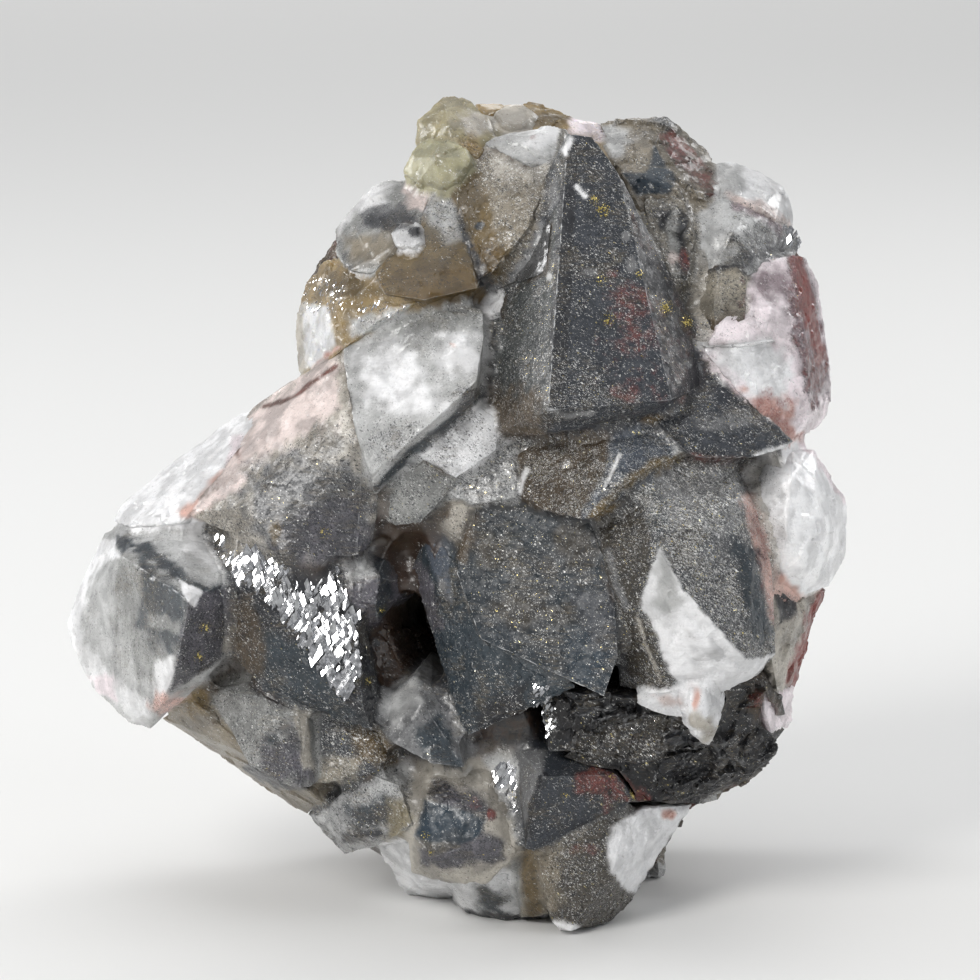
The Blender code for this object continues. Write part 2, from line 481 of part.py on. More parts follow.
def material(name):
    colour, roughness, metallic = COLOURS[name]
    made = bpy.data.materials.new(name)
    made.use_nodes = True
    shader = made.node_tree.nodes["Principled BSDF"]
    shader.inputs["Base Color"].default_value = colour
    shader.inputs["Roughness"].default_value = roughness
    shader.inputs["Metallic"].default_value = metallic
    return made


def metres(shape):
    """The mesh of a bmesh that was drawn in millimetres."""
    bmesh.ops.scale(shape, vec=(MM, MM, MM), verts=shape.verts)
    mesh = bpy.data.meshes.new("shape")
    shape.to_mesh(mesh)
    shape.free()
    return mesh


def hull(name, points, collection):
    """A closed solid with flat faces: the convex hull of the points."""
    shape = bmesh.new()
    for point in points:
        shape.verts.new(point)
    bmesh.ops.convex_hull(shape, input=shape.verts)
    loose = [vert for vert in shape.verts if not vert.link_faces]
    bmesh.ops.delete(shape, geom=loose, context="VERTS")
    bmesh.ops.recalc_face_normals(shape, faces=shape.faces)
    made = bpy.data.objects.new(name, metres(shape))
    collection.objects.link(made)
    made.display_type = "WIRE"
    return made


def boolean(target, operation, collection):
    """Joins or cuts with every shape in a collection, and keeps the result as a plain mesh."""
    change = target.modifiers.new(operation.lower(), "BOOLEAN")
    change.operation = operation
    change.solver = "EXACT"
    change.operand_type = "COLLECTION"
    change.collection = collection
    change.use_self = operation == "UNION"
    graph = bpy.context.evaluated_depsgraph_get()
    mesh = bpy.data.meshes.new_from_object(target.evaluated_get(graph))
    target.modifiers.remove(change)
    target.data = mesh


def islands(shape):
    """The faces of a bmesh in groups that touch."""
    left = set(shape.faces)
    groups = []
    while left:
        group = {left.pop()}
        edge = list(group)
        while edge:
            near = {other for side in edge.pop().edges for other in side.link_faces} - group
            group |= near
            edge.extend(near)
        left -= group
        groups.append(group)
    return groups


def keep_largest(target):
    """Leaves the outer skin of a joined solid: sealed gaps between crystals are filled."""
    shape = bmesh.new()
    shape.from_mesh(target.data)
    groups = sorted(islands(shape), key=lambda group: sum(face.calc_area() for face in group))
    spare = [face for group in groups[:-1] for face in group]
    bmesh.ops.delete(shape, geom=spare, context="FACES")
    shape.to_mesh(target.data)
    shape.free()


# Shapes of the specimen
def crystal_points(name, swell=0.0):
    corners, root = CRYSTALS[name]
    points = [seen(*corner) for corner in corners] + around(inside(*root), ROOT_GIRTH)
    if not swell:
        return points
    centre = sum(points, Vector()) / len(points)
    return [point + swell * (point - centre).normalized() for point in points]


def body_points(name, swell=0.0):
    points = [seen(*corner) for corner in BODY[name]]
    centre = sum(points, Vector()) / len(points)
    return [point + swell * (point - centre).normalized() for point in points]


def pit_points(opening, end):
    return [seen(*corner) for corner in opening] + around(inside(*end), ROOT_GIRTH / 4)


def surface_of(target):
    """A tree of the faces of an object, for finding where a ray meets it."""
    shape = bmesh.new()
    shape.from_mesh(target.data)
    tree = bvhtree.BVHTree.FromBMesh(shape)
    shape.free()
    return tree


def in_region(corners, chance):
    """A point picked evenly inside a convex region of the front view."""
    first = corners[0]
    pairs = list(zip(corners[1:-1], corners[2:]))
    areas = [abs(geometry.area_tri((*first, 0), (*one, 0), (*two, 0))) for one, two in pairs]
    one, two = chance.choices(pairs, areas)[0]
    slide, turn = chance.random(), chance.random()
    if slide + turn > 1:
        slide, turn = 1 - slide, 1 - turn
    return tuple(first[i] + slide * (one[i] - first[i]) + turn * (two[i] - first[i]) for i in (0, 1))


def step_points(surface, across, up, length, width, lift, grain):
    """Corners of a thin slanting plate on whatever face shows at one place in the front view."""
    near, far = seen(across, up, SPAN / 2), seen(across, up, -SPAN / 2)
    spot, normal, _, _ = surface.ray_cast(near * MM, far * MM - near * MM)
    if spot is None:
        return None
    spot = spot / MM
    flow = Vector((math.cos(grain), 0, math.sin(grain)))
    along = (flow - flow.dot(normal) * normal).normalized() * length / 2
    side = normal.cross(along).normalized() * width / 2
    slant = along * 0.3
    raised = [spot + along + slant + side + normal * lift,
              spot - along + slant + side + normal * lift * 0.6]
    level = [spot + along - slant - side - normal * 0.1, spot - along - slant - side - normal * 0.1]
    return raised + level + [corner - normal * STEP_SINK for corner in raised + level]


def add_steps(target, table, seed):
    """Joins rows of small plates and grains to the faces they grow on."""
    chance = random.Random(seed)
    joined = new_collection(f"steps_of_{target.name}", hidden=True)
    surface = surface_of(target)
    for name, (region, count, lengths, widths, lift, grain) in table.items():
        for number in range(count):
            across, up = in_region(region, chance)
            turn = math.radians(grain + chance.uniform(-12, 12))
            rise = lift * chance.uniform(0.6, 1.2)
            points = step_points(surface, across, up, chance.uniform(*lengths), chance.uniform(*widths),
                                 rise, turn)
            if points:
                hull(f"{name}_{number}", points, joined)
    boolean(target, "UNION", joined)


def crust_points(name):
    rim, back = ROCK_BACK[name]
    return [seen(*corner) for corner in rim] + [inside(*corner) for corner in back]


def lump_points(centre, size, chance):
    ways = [Vector([chance.gauss(0, 1) for _ in range(3)]).normalized() for _ in range(LUMP_CORNERS)]
    return [centre + way * size * chance.uniform(0.82, 1.1) for way in ways]


def add_lumps(rock):
    """Angular lumps in uneven rows round the back and sides of the crust, and the feet it stands on."""
    chance = random.Random(LUMP_SEED)
    joined = new_collection("lumps", hidden=True)
    surface = surface_of(rock)
    for row, (height, middle, turn) in enumerate(LUMP_ROWS):
        axis = inside(middle, LUMP_AXIS, height)
        while turn < 80:
            way = math.radians(turn + chance.uniform(-6, 6))
            start = axis + SPAN * Vector((math.sin(way), math.cos(way), chance.uniform(-0.02, 0.02)))
            spot, normal, _, _ = surface.ray_cast(start * MM, axis * MM - start * MM)
            turn += LUMP_TURN
            if spot is None:
                continue
            size = chance.uniform(*LUMP_SIZE)
            hull(f"lump_{row}_{turn}", lump_points(spot / MM - normal * size * LUMP_SUNK, size, chance),
                 joined)
    for number, (x, y, z) in enumerate(FEET):
        hull(f"foot_{number}", lump_points(inside(x, y, z), FOOT_SIZE, chance), joined)
    boolean(rock, "UNION", joined)


def floor_cutter(collection):
    """A block under the floor, so that the feet of the specimen end flat on it."""
    corners = [(x, y, z) for x in (-SPAN, SPAN) for y in (-SPAN, SPAN) for z in (-BASE_DEPTH, 0)]
    return hull("under_floor", corners, collection)


def build_cluster(parts):
    bodies = new_collection("bodies", hidden=True)
    for name in list(BODY)[1:]:
        hull(name, body_points(name), bodies)
    cluster = hull("calcite_cluster", body_points("body_top"), parts)
    cluster.display_type = "TEXTURED"
    boolean(cluster, "UNION", bodies)
    pits = new_collection("pits", hidden=True)
    for name, (opening, end) in PITS.items():
        hull(name, pit_points(opening, end), pits)
    boolean(cluster, "DIFFERENCE", pits)
    crystals = new_collection("crystals", hidden=True)
    for name in CRYSTALS:
        hull(name, crystal_points(name), crystals)
    boolean(cluster, "UNION", crystals)
    add_steps(cluster, STEPS, STEP_SEED)
    cutters = new_collection("cutters", hidden=True)
    floor_cutter(cutters)
    boolean(cluster, "DIFFERENCE", cutters)
    keep_largest(cluster)
    cluster.data.materials.clear()
    cluster.data.materials.append(material("grey_calcite"))


def build_rock(parts):
    joined = new_collection("rock_shapes", hidden=True)
    for name in list(ROCK_BACK)[1:]:
        hull(name, crust_points(name), joined)
    for name, corners in ROCK_FRONT.items():
        hull(name, [seen(*corner) for corner in corners] + around(inside(*ROCK_ROOT), ROOT_GIRTH), joined)
    rock = hull("host_rock", crust_points("upper_crust"), parts)
    rock.display_type = "TEXTURED"
    boolean(rock, "UNION", joined)
    add_lumps(rock)
    add_steps(rock, ROCK_STEPS, STEP_SEED)
    imprint = new_collection("imprint", hidden=True)
    for name in CRYSTALS:
        hull(f"imprint_{name}", crystal_points(name, SEAM), imprint)
    for name in BODY:
        hull(f"imprint_{name}", body_points(name, SEAM), imprint)
    hull("rock_pit", pit_points(*ROCK_PIT), imprint)
    floor_cutter(imprint)
    boolean(rock, "DIFFERENCE", imprint)
    keep_largest(rock)
    rock.data.materials.clear()
    rock.data.materials.append(material("dark_red_rock"))


def main():
    clear_scene()
    parts = new_collection("hematite included calcite specimen")
    build_cluster(parts)
    build_rock(parts)


main()
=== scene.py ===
"""The looks of a hematite included calcite specimen: a cluster of intergrown crystals on red rock.

Each crystal is the convex hull of its named corners, as in the part's source. Its faces are then
divided finely, weathered by a Geometry Nodes tree and painted with point attributes, which the
materials read. Lengths are in millimetres until plain_mesh() turns them into Blender's units.
"""

import math

import bmesh
import bpy
import numpy as np
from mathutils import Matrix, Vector, kdtree, noise
from mathutils.bvhtree import BVHTree


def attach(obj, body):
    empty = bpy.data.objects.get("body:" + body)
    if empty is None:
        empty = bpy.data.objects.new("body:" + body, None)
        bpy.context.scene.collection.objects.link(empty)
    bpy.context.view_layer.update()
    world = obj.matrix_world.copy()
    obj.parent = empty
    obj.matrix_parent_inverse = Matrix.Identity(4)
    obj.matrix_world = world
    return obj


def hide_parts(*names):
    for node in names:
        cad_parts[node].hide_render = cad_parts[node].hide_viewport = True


bl_info = {
    "name": "Hematite included calcite specimen",
    "version": (1, 0, 0),
    "blender": (4, 5, 0),
    "location": "3D View > Sidebar > Specimen",
    "description": "Builds the weathered, painted crystals of a calcite specimen around its solid part",
    "category": "Add Mesh",
}

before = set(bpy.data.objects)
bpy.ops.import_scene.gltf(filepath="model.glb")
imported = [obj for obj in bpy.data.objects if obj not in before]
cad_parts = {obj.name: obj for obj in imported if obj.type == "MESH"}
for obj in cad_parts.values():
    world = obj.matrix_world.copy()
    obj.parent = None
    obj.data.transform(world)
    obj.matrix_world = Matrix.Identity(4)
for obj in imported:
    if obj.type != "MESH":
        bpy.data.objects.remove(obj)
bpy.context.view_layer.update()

# Places, in millimetres and degrees, as in the part's source
MM = 0.001
LOOK_DOWN = math.radians(10)
VIEW_DISTANCE = 600
VIEW_ACROSS = 4.25
VIEW_UP = 55.75
FLOOR = 1.98
CENTRE_X = -0.2
CENTRE_Y = 15.3
ROOT_GIRTH = 6.0

# The camera: width of its sensor, and width of the view at the specimen
SENSOR = 36.0
FRAME_SPAN = 122.5

# Measuring, in millimetres: a distance that means none, the farthest that a piece keeps, the start of
# a line of sight, how near the part's skin counts as outside, and the spacing of points on a ridge
FAR_AWAY = 99.0
KEPT_REACH = 3.0
OFF_THE_SKIN = 0.9
NEAR_THE_SKIN = 0.8
RIDGE_STEP = 0.25

# An edge is split when it is this many times longer than wanted
SPLIT_OVER = 1.3

# Paint: size and seed of the noise that makes its edges wobble, how far they wobble and how wide they
# fade, both as shares of the reach, and how strongly a plain crystal's edges shine
WOBBLE_SIZE = 1.5
WOBBLE_SEED = 3.0
WOBBLE_SHARE = 0.8
FADE_SHARE = 1.2
PLAIN_EDGE = 0.3

# The body between crystals: how many points of the crystals lend it their colours and over what
# distance these blur, how far from a crystal a seam begins, over what distance it darkens, how brown
# and dark it gets (brown seam colour and painted shade of the recess), how free it is of that painted
# seam shade and colour where it meets a crystal, and the least share that it takes of its own paint
LENDERS = 5
LENT_BLUR = 0.3
SEAM_STARTS = 0.35
SEAM_WIDENS = 1.3
SEAM_BROWN_AND_SHADE = 0.55
SEAM_FREE_OF_TINT_AND_SHADE = 1.6
SEAM_PAINTED = 0.7

# A crystal, in millimetres: how deep in a neighbour it is painted and lends its colours, and how far
# from an edge it is rounded, more with each pass
PAINTED_DEPTH = -0.6
LENT_DEPTH = -0.5
ROUND_REACH = 0.3
ROUND_MORE = 0.12

# The rock, in millimetres: spacing of its points in front, behind and buried, how near a crystal they
# count as buried, how far from an edge it is rounded, how near a crystal that stops and over what
# distance it comes back, and the size and seed of three sorts of noise
ROCK_FRONT = 0.5
ROCK_BACK = 1.15
ROCK_BURIED = 2.6
ROCK_NEAR = 0.9
ROCK_ROUND = 0.8
ROCK_HELD = 0.35
ROCK_FREED = 1.5
ROCK_NOISE = ((11.0, 5.0), (4.0, 17.0), (1.6, 29.0))

# Angles between faces, in degrees: merged as flat, merged on the rock, kept as a ridge, shaded crisp
FLAT = 5
FLAT_ROCK = 1.5
RIDGE = 26
CRISP = 24

# How many seeds the pieces share, and how far apart the seeds are
SEEDS = 97
SEED_STEP = 1.7

# Points nearer than this are one, in metres
WELD = 1e-6


def seen(across, up, out):
    """A corner read across and up in the front view, standing out toward the viewer."""
    pull = 1 - out / VIEW_DISTANCE
    side = VIEW_ACROSS + (across - VIEW_ACROSS) * pull
    rise = VIEW_UP + (up - VIEW_UP) * pull
    depth = rise * math.sin(LOOK_DOWN) - out * math.cos(LOOK_DOWN)
    height = rise * math.cos(LOOK_DOWN) + out * math.sin(LOOK_DOWN)
    return Vector((side - CENTRE_X, depth - CENTRE_Y, height - FLOOR))


def inside(x, y, z):
    """A point in the body of the specimen, given straight in world directions."""
    return Vector((x - CENTRE_X, y - CENTRE_Y, z))


def around(centre, girth):
    """Six points about a centre, for the buried root of a crystal."""
    reach = (Vector((1, 0, 0)), Vector((0, 1, 0)), Vector((0, 0, 1)))
    return [centre + sign * girth * way for way in reach for sign in (-1, 1)]


def front_view(points):
    """Across, up and out of points given in world millimetres: the reverse of seen()."""
    x = points[:, 0] + CENTRE_X
    y = points[:, 1] + CENTRE_Y
    z = points[:, 2] + FLOOR
    rise = y * math.sin(LOOK_DOWN) + z * math.cos(LOOK_DOWN)
    out = -y * math.cos(LOOK_DOWN) + z * math.sin(LOOK_DOWN)
    spread = VIEW_DISTANCE / (VIEW_DISTANCE - out)
    across = VIEW_ACROSS + (x - VIEW_ACROSS) * spread
    up = VIEW_UP + (rise - VIEW_UP) * spread
    return across, up, out


CRYSTALS = {
    "spire": ([(14, 100.3, 8), (17, 99.8, 7.7), (20.3, 95.5, 9.1), (27, 67, 21.5), (11.5, 65.7, 25),
        (31, 74, 9), (31.2, 69, 11), (9, 90.5, 6), (3.9, 81.2, 5), (3.5, 76, 7), (4.2, 69, 10),
        (5, 62.8, 13), (11.1, 62.6, 20), (15.5, 63.8, 20), (24, 65.2, 18)], (15, 22, 70)),
    "spire_skin": ([(9.2, 89.6, 7.5), (7.7, 89.1, 6.5), (5, 85.2, 5.5), (3.7, 81.4, 6), (4.8, 80.7, 8),
        (11.2, 83, 14.5), (11.8, 89, 12)], (12, 16, 78)),
    "spire_chip": ([(6.1, 80.9, 8.6), (4.2, 79.6, 7.6), (3, 77, 7.4), (3.7, 75.2, 8.2), (6.2, 75.8, 10.6)],
        (10, 14, 72)),
    "honey_upper": ([(-5.2, 99.2, -1), (-5, 102, -2), (-3.5, 103.4, -3), (-1.8, 105.1, -4), (0, 105.3, -4),
        (2, 104.5, -3), (4, 102.4, -1), (5, 100, 1), (3, 97, 4), (0, 96.5, 4), (-3, 97, 2), (-1, 101.5, 3)],
        (2, 24, 90)),
    "honey_lower": ([(-6.8, 95.4, 0), (-6.1, 97.5, 0), (-5, 99.1, 0), (-3, 99.9, 2), (-0.5, 99.6, 4),
        (1, 98.8, 5), (1.6, 97.2, 6), (0, 94.7, 7), (-1.8, 93.6, 6), (-5, 94.1, 3), (-2.2, 97.2, 6.6)],
        (2, 22, 86)),
    "top_band": ([(2, 104.3, -8), (8.6, 104.3, -9), (10, 103.4, -9), (14, 102.9, -9), (20, 100.9, -8),
        (19, 97, -1), (4, 97, 0), (5, 102, -3), (12, 102.2, -4)], (12, 30, 84)),
    "top_lump": ([(4.8, 102.8, -3), (6, 103.9, -5), (8.4, 104.2, -5), (10, 103, -4), (8.5, 101.6, -1),
        (5.8, 101.6, -1)], (9, 24, 92)),
    "white_top": ([(3, 99, 2), (5.5, 100, 2), (9, 100.9, 1), (12, 101.4, 0.5), (13.8, 100.9, 1),
        (14, 96, 6), (8.5, 96.5, 6.5), (9.5, 100, 3.4)], (12, 20, 88)),
    "brown_sparkly": ([(0.4, 96.6, 3), (3.5, 99, 2.4), (8.5, 98, 4.6), (12.5, 96, 6), (9, 88.5, 12),
        (4.4, 82.8, 12.4), (3.4, 86.6, 10.4), (0, 92, 6.8)], (10, 20, 80)),
    "crown_right": ([(17.5, 101.9, -7), (20, 101.1, -6), (22, 101.1, -7), (25, 102.1, -8),
        (26.4, 102.5, -8), (28, 101.6, -9), (30, 99.1, -9), (32.4, 96.9, -8), (33, 92.5, -2), (29, 90, 3),
        (23, 90, 5), (20.5, 95.5, 3), (24.6, 98.3, -1), (27.8, 93.4, 2.8)], (26, 24, 82)),
    "mottled": ([(23.6, 92.6, 4.5), (28.8, 92.2, 4), (30, 87, 6), (29, 82, 8.5), (27, 80.5, 8.5),
        (24, 86, 8)], (27, 20, 76)),
    "white_cleavage": ([(32.4, 96.8, -7), (34.5, 97.1, -8), (35.8, 96.1, -7), (38, 95.5, -8),
        (41, 93.7, -8), (41.8, 91.8, -9), (42.3, 90, -9), (42.2, 88.6, -8), (40, 89.4, -1), (38, 91, 0.6),
        (35.5, 92.7, 0.6), (33, 92.4, 0.4)], (34, 24, 82)),
    "pale_tip": ([(29, 86.7, 4), (30.2, 89.4, 3), (33.2, 92.3, 1), (36, 91.1, 1), (38.5, 90, 0),
        (42, 88, -4), (43, 87, -6), (42.5, 85.5, -4), (38.5, 83.4, 4), (36.5, 82.6, 6.4), (32, 82.8, 6),
        (34.6, 88, 6.4)], (36, 24, 78)),
    "beige_block": ([(28.6, 84, 2), (28.4, 77, 5), (31.9, 83, 6.4), (33, 83.8, 6.6), (35.3, 84, 6.6),
        (36.4, 82.8, 7), (36.1, 76.4, 9.6), (32.4, 75.6, 10), (32.3, 79, 8.6)], (33, 24, 74)),
    "white_ledge": ([(30.4, 75.5, 7), (36, 75.1, 9), (40.2, 74.4, 9), (36, 73.7, 12.4), (31.4, 73.6, 12.4),
        (30, 74.2, 11)], (34, 20, 70)),
    "pink_block": ([(36.2, 83, 5), (38.5, 84.4, 4), (42.3, 85.2, 1), (43.6, 85, -2), (45.3, 82, -5),
        (46, 76, -6), (46.7, 72.5, -6), (47, 68, -5), (46.6, 65.5, -4), (45.8, 64, -2), (44, 62.6, 2),
        (41.5, 62, 9), (38, 65, 12.4), (34, 69.5, 13.4), (31, 73.2, 12.4), (36.4, 76, 10), (43.4, 75, 5),
        (44.5, 66, 6)], (36, 24, 70)),
    "dark_wedge": ([(23.6, 65.4, 16), (28, 67.2, 13), (31, 69.1, 11.4), (34, 69.6, 11.4), (36, 67.5, 12),
        (40, 63.9, 12.6), (42.2, 61.8, 11.4), (41.2, 61, 12), (36.8, 59.7, 15.4), (29.4, 59.9, 18),
        (28.4, 63, 18.4)], (31, 18, 62)),
    "band_crystal": ([(7.7, 60.2, 13), (8, 55, 15.4), (11, 53.1, 18), (12, 63.5, 12.4), (20, 63.4, 13.6),
        (20.3, 61.5, 19), (15.7, 52, 21.4), (17.2, 52.2, 21.6), (22, 63.8, 15), (23.5, 64.3, 14.4),
        (26, 63.4, 14.4), (28.5, 63, 14.6), (29.2, 61, 16.4), (24, 58.4, 19.6), (21, 56.3, 21)],
        (18, 16, 58)),
    "dotted_cream": ([(2.3, 66.6, 13), (5.1, 64.6, 13.4), (5.1, 60.8, 14.6), (0, 57.2, 14.4),
        (-3, 59.4, 15.4), (-5.6, 60, 12.4), (0, 65.4, 12.8)], (2, 18, 62)),
    "grey_cream": ([(-3, 59.6, 14.6), (0.2, 57.3, 13.8), (-1, 55.3, 13), (-4.5, 51.7, 11.4),
        (-7.5, 51.3, 10.4), (-10.2, 53, 9), (-10, 55.6, 10), (-5.3, 60.2, 12.6)], (-3, 18, 56)),
    "speckled_fan": ([(-0.4, 57.2, 12.8), (5, 60.7, 12.4), (8, 60.4, 13), (7.7, 54.8, 15), (2, 53.9, 14),
        (-1.4, 55.4, 12.6)], (4, 18, 56)),
    "cream_wedge": ([(-2.6, 54, 10), (0.5, 55.2, 12), (2.6, 54, 12.6), (1.8, 48.6, 11.8),
        (-2.6, 51.6, 9.6)], (1, 18, 50)),
    "smoky_white": ([(-15.2, 88.3, -4), (-14, 89.3, -4), (-12.8, 91.3, -4), (-11.5, 93.1, -4),
        (-10, 94.1, -4), (-8.5, 94.7, -4), (-6.8, 94.7, -3), (-4, 93.5, 1.6), (-3.3, 92.5, 3.6),
        (-4.6, 88.5, 7.6), (-5, 86.4, 8.6), (-7.5, 86.4, 9), (-10.5, 82.7, 8), (-13.5, 83.2, 4.6),
        (-15.1, 85.1, 0)], (-4, 22, 82)),
    "smoky_bump": ([(-8.2, 88, 7.4), (-7, 89.3, 7.4), (-4.8, 88.9, 8), (-4.3, 86.6, 9.6),
        (-5.4, 85.8, 10.4), (-7.6, 86.3, 10)], (-2, 20, 80)),
    "grey_tipped": ([(-2, 93.7, 3), (-4.3, 90, 6), (-5, 87, 8), (-10.1, 83, 9.4), (-9.7, 81.2, 10),
        (0, 91.6, 4), (1.2, 88.6, 7.6), (4.3, 85.6, 6), (3.6, 81.3, 9), (2.6, 81, 12), (-4, 79.5, 14),
        (-9, 80.3, 11.6)], (-1, 20, 76)),
    "honey_left": ([(-15, 84.7, -2), (-16.5, 84.3, -4), (-18.4, 82.3, -6), (-19.2, 80, -7),
        (-19.9, 77.5, -7), (-20.1, 75, -7), (-19.8, 72, -6), (-19.6, 70.2, -4), (-17, 71.2, 3),
        (-14, 73.4, 8), (-10, 76.8, 11), (-5, 79.2, 12), (-9.6, 81.3, 9.4), (-13.6, 83.3, 3),
        (-14.6, 79, 6.6)], (-6, 22, 72)),
    "big_white": ([(-13.2, 76.3, 7), (-8, 77.6, 9), (-2.5, 78.9, 11), (2, 78.9, 11), (3.4, 78.2, 11.4),
        (3.5, 75, 14), (2.6, 69.4, 17.4), (-3, 64.2, 18), (-7.2, 60.6, 17), (-10.7, 57.6, 15),
        (2.8, 67.4, 14.6), (-3, 62.1, 15), (-6, 59.6, 14.6), (-10.2, 55.1, 12.4), (-14.2, 73.2, 8),
        (-13.2, 65, 12.4)], (-3, 18, 66)),
    "pink_grey": ([(-14.2, 73.3, 6), (-17.2, 71.2, 3), (-21.3, 68.9, -4), (-21.7, 67, -4), (-25.5, 66, -4),
        (-29.4, 57.4, 5), (-34, 52.8, 5), (-27, 53.6, 10.4), (-24.4, 51.6, 11.6), (-22, 47.6, 12.4),
        (-12.4, 47.4, 12.4), (-10.4, 49, 11), (-9.6, 55.2, 11.6), (-11.6, 62, 13), (-13.2, 67, 12)],
        (-16, 18, 58)),
    "white_rim": ([(-25.4, 66.1, -6), (-27.5, 65.1, -7), (-30, 63.4, -8), (-33, 60.4, -9), (-37, 57.1, -10),
        (-39, 56.2, -10), (-40.5, 55.4, -10), (-42, 53.9, -9), (-43.1, 51.8, -8), (-41, 51, 0),
        (-34.5, 51.6, 5.6), (-29, 57, 5.8), (-24.4, 65, 0.6), (-35, 55, 3)], (-22, 18, 52)),
    "phantom_left": ([(-44, 50.4, -8), (-41, 52, -5), (-34.5, 52.1, 1), (-32, 50.3, 3), (-27.4, 46.8, 6.4),
        (-25.9, 45.8, 6.4), (-26, 41, 8), (-28.3, 35.4, 8.4), (-31, 32.4, 9), (-35.6, 31, 10.6),
        (-36.8, 29, 9.4), (-38.3, 25.8, 2), (-41, 26.6, 0), (-42.8, 29.2, -3), (-45.3, 30.8, -6),
        (-46.6, 33.4, -9), (-48.3, 37, -11), (-48.7, 39, -11), (-47.8, 42, -11), (-46, 46, -11),
        (-33.3, 42, 17), (-35, 33.6, 14.4), (-41.6, 47.4, 5)], (-28, 16, 40)),
    "glitter_point": ([(-31.6, 50.2, 3), (-25, 52.6, 7), (-17.5, 49, 9), (-12.6, 43.4, 9.6), (-9.8, 31, 10),
        (-10.5, 25.6, 12.6), (-11.6, 28.6, 15.6), (-27, 43.6, 13.4), (-28, 35, 8.4), (-24.5, 31.3, 8.6),
        (-20, 29, 9.6), (-15, 27.2, 11)], (-17, 14, 38)),
    "nook": ([(-13.6, 41, 7), (-8.6, 39.4, 5), (-6.2, 33, 5), (-8.6, 28.6, 7), (-10.8, 26.6, 7.6)],
        (-8, 16, 32)),
    "knob": ([(-14.6, 46, 8), (-13.4, 47.6, 8), (-11.6, 48.2, 8), (-9, 47, 8), (-7.9, 44.4, 8),
        (-8.2, 41.6, 8), (-9.8, 39.2, 8), (-12.4, 39, 8), (-14.4, 42, 8), (-12.6, 46, 11), (-9.8, 45, 11.4),
        (-10, 41.6, 11), (-12.6, 42, 11.4)], (-8, 14, 42)),
    "speckled_left": ([(-31, 30.8, 4), (-25.4, 31.8, 7), (-24, 29.8, 9.6), (-18.6, 27.4, 9.6),
        (-17.6, 18.8, 8), (-19.4, 18.4, 10), (-21.6, 18.9, 9), (-26, 21.3, 7)], (-16, 14, 26)),
    "left_rim": ([(-36.8, 27.4, -4), (-35.4, 26.7, -4), (-33.5, 28.2, -2), (-32, 26.5, -4), (-29, 23, -6),
        (-28, 21.8, -6), (-26, 21.4, -6), (-23.8, 18.7, -7), (-21, 16.5, -7), (-18.5, 15.2, -6),
        (-16.6, 16.6, 2), (-20, 19.4, 6), (-27, 23, 4.6), (-31, 29.4, 3), (-35, 31, 4)], (-18, 14, 28)),
    "low_grey": ([(-18.8, 28, 7), (-10.2, 27, 8), (-8.6, 22, 8.6), (-10.8, 19.6, 7), (-17.8, 19, 6)],
        (-9, 14, 24)),
    "dark_phantom": ([(-18.6, 15.2, -3), (-17.4, 14.8, 0), (-14.5, 17.6, 4.6), (-10.8, 20.2, 7),
        (-7.2, 18.9, 8.6), (-5.4, 14, 8.6), (-8.8, 11.8, 6), (-10, 11.2, 3), (-11.3, 11.1, 0),
        (-14, 10.2, -4), (-15, 11.7, -4), (-16.4, 13.4, -4), (-13.4, 12.4, 4.6)], (-5, 14, 16)),
    "small_grey": ([(-9.8, 28.4, 8), (-9, 29.9, 8), (-5.3, 32.6, 8), (-3, 31, 9.4), (-0.4, 27.5, 10),
        (1, 21.1, 12.4), (-3, 21.6, 13), (-7.5, 23.9, 12.4), (-9.6, 26, 10.6), (-4.2, 29.2, 12)],
        (-3, 12, 26)),
    "framed": ([(-4, 21.1, 6), (0, 21.6, 7), (4, 21.1, 7.4), (4.9, 19, 8.4), (7, 16, 9), (6.9, 13.5, 9.4),
        (7.6, 10.3, 9), (-5.2, 18.5, 6), (-5.9, 12, 6), (-5.6, 7.8, 5), (-1, 6.5, 7), (4, 6.3, 8),
        (-3.8, 17.6, 9.4), (0, 16.4, 10.6), (4, 14.8, 11.4), (2, 11.4, 11.8), (-3, 9.8, 10.4),
        (-5.2, 12.6, 8.6)], (0, 12, 14)),
    "foot_left": ([(-10, 11.4, -4), (-9, 10.6, -6), (-8, 9.4, -8), (-7.2, 7.4, -10), (-6.6, 5.3, -12),
        (-5, 4.6, -13), (-3, 4.3, -13), (0.4, 4.2, -12.4), (2, 8, 4), (-3, 8, 4), (-6, 12, 4)], (0, 20, 8)),
    "foot_mid": ([(-0.4, 4, -10), (0.7, 3.3, -8), (1.5, 2.6, -4), (3, 2.3, -2), (6, 1.9, 0.4), (9.8, 2, 0),
        (11.9, 2.4, -1), (12, 9, 5), (4, 7.4, 6.6), (-1, 8, 5)], (4, 18, 8)),
    "honey_foot": ([(7, 12, 7), (7.4, 6, 6), (8, 2.2, 1.6), (11.8, 2.6, 4), (11, 8, 7.4), (10, 11, 8.4)],
        (9, 14, 8)),
    "mirror_strip": ([(3.4, 22.6, 6), (6, 23.1, 7), (8.2, 20, 9), (8.5, 16, 10), (9.8, 10.5, 10.4),
        (8.2, 11.5, 9.6), (7, 15.4, 9.4), (4.8, 18, 8.6)], (7, 12, 18)),
    "down_blade": ([(8, 23.1, 9), (10, 23.4, 9.6), (12.2, 22.2, 10), (20, 20.2, 8.6), (22.4, 17, 7),
        (14, 14.4, 9), (11, 12.9, 10), (9.6, 10.6, 10.8), (8.7, 10.9, 10.6), (7.9, 17, 9.6),
        (10.9, 19.9, 14), (9.1, 13, 13)], (14, 12, 20)),
    "foot_right": ([(10, 10.7, 8), (11, 13.1, 8.4), (14, 14.9, 8.4), (18, 14.7, 8), (21, 14, 7),
        (24, 16, 4), (29.6, 16.5, -3), (27.8, 14.1, -3), (25.2, 11.4, -3), (24.4, 9.6, -2), (23.3, 6.7, -1),
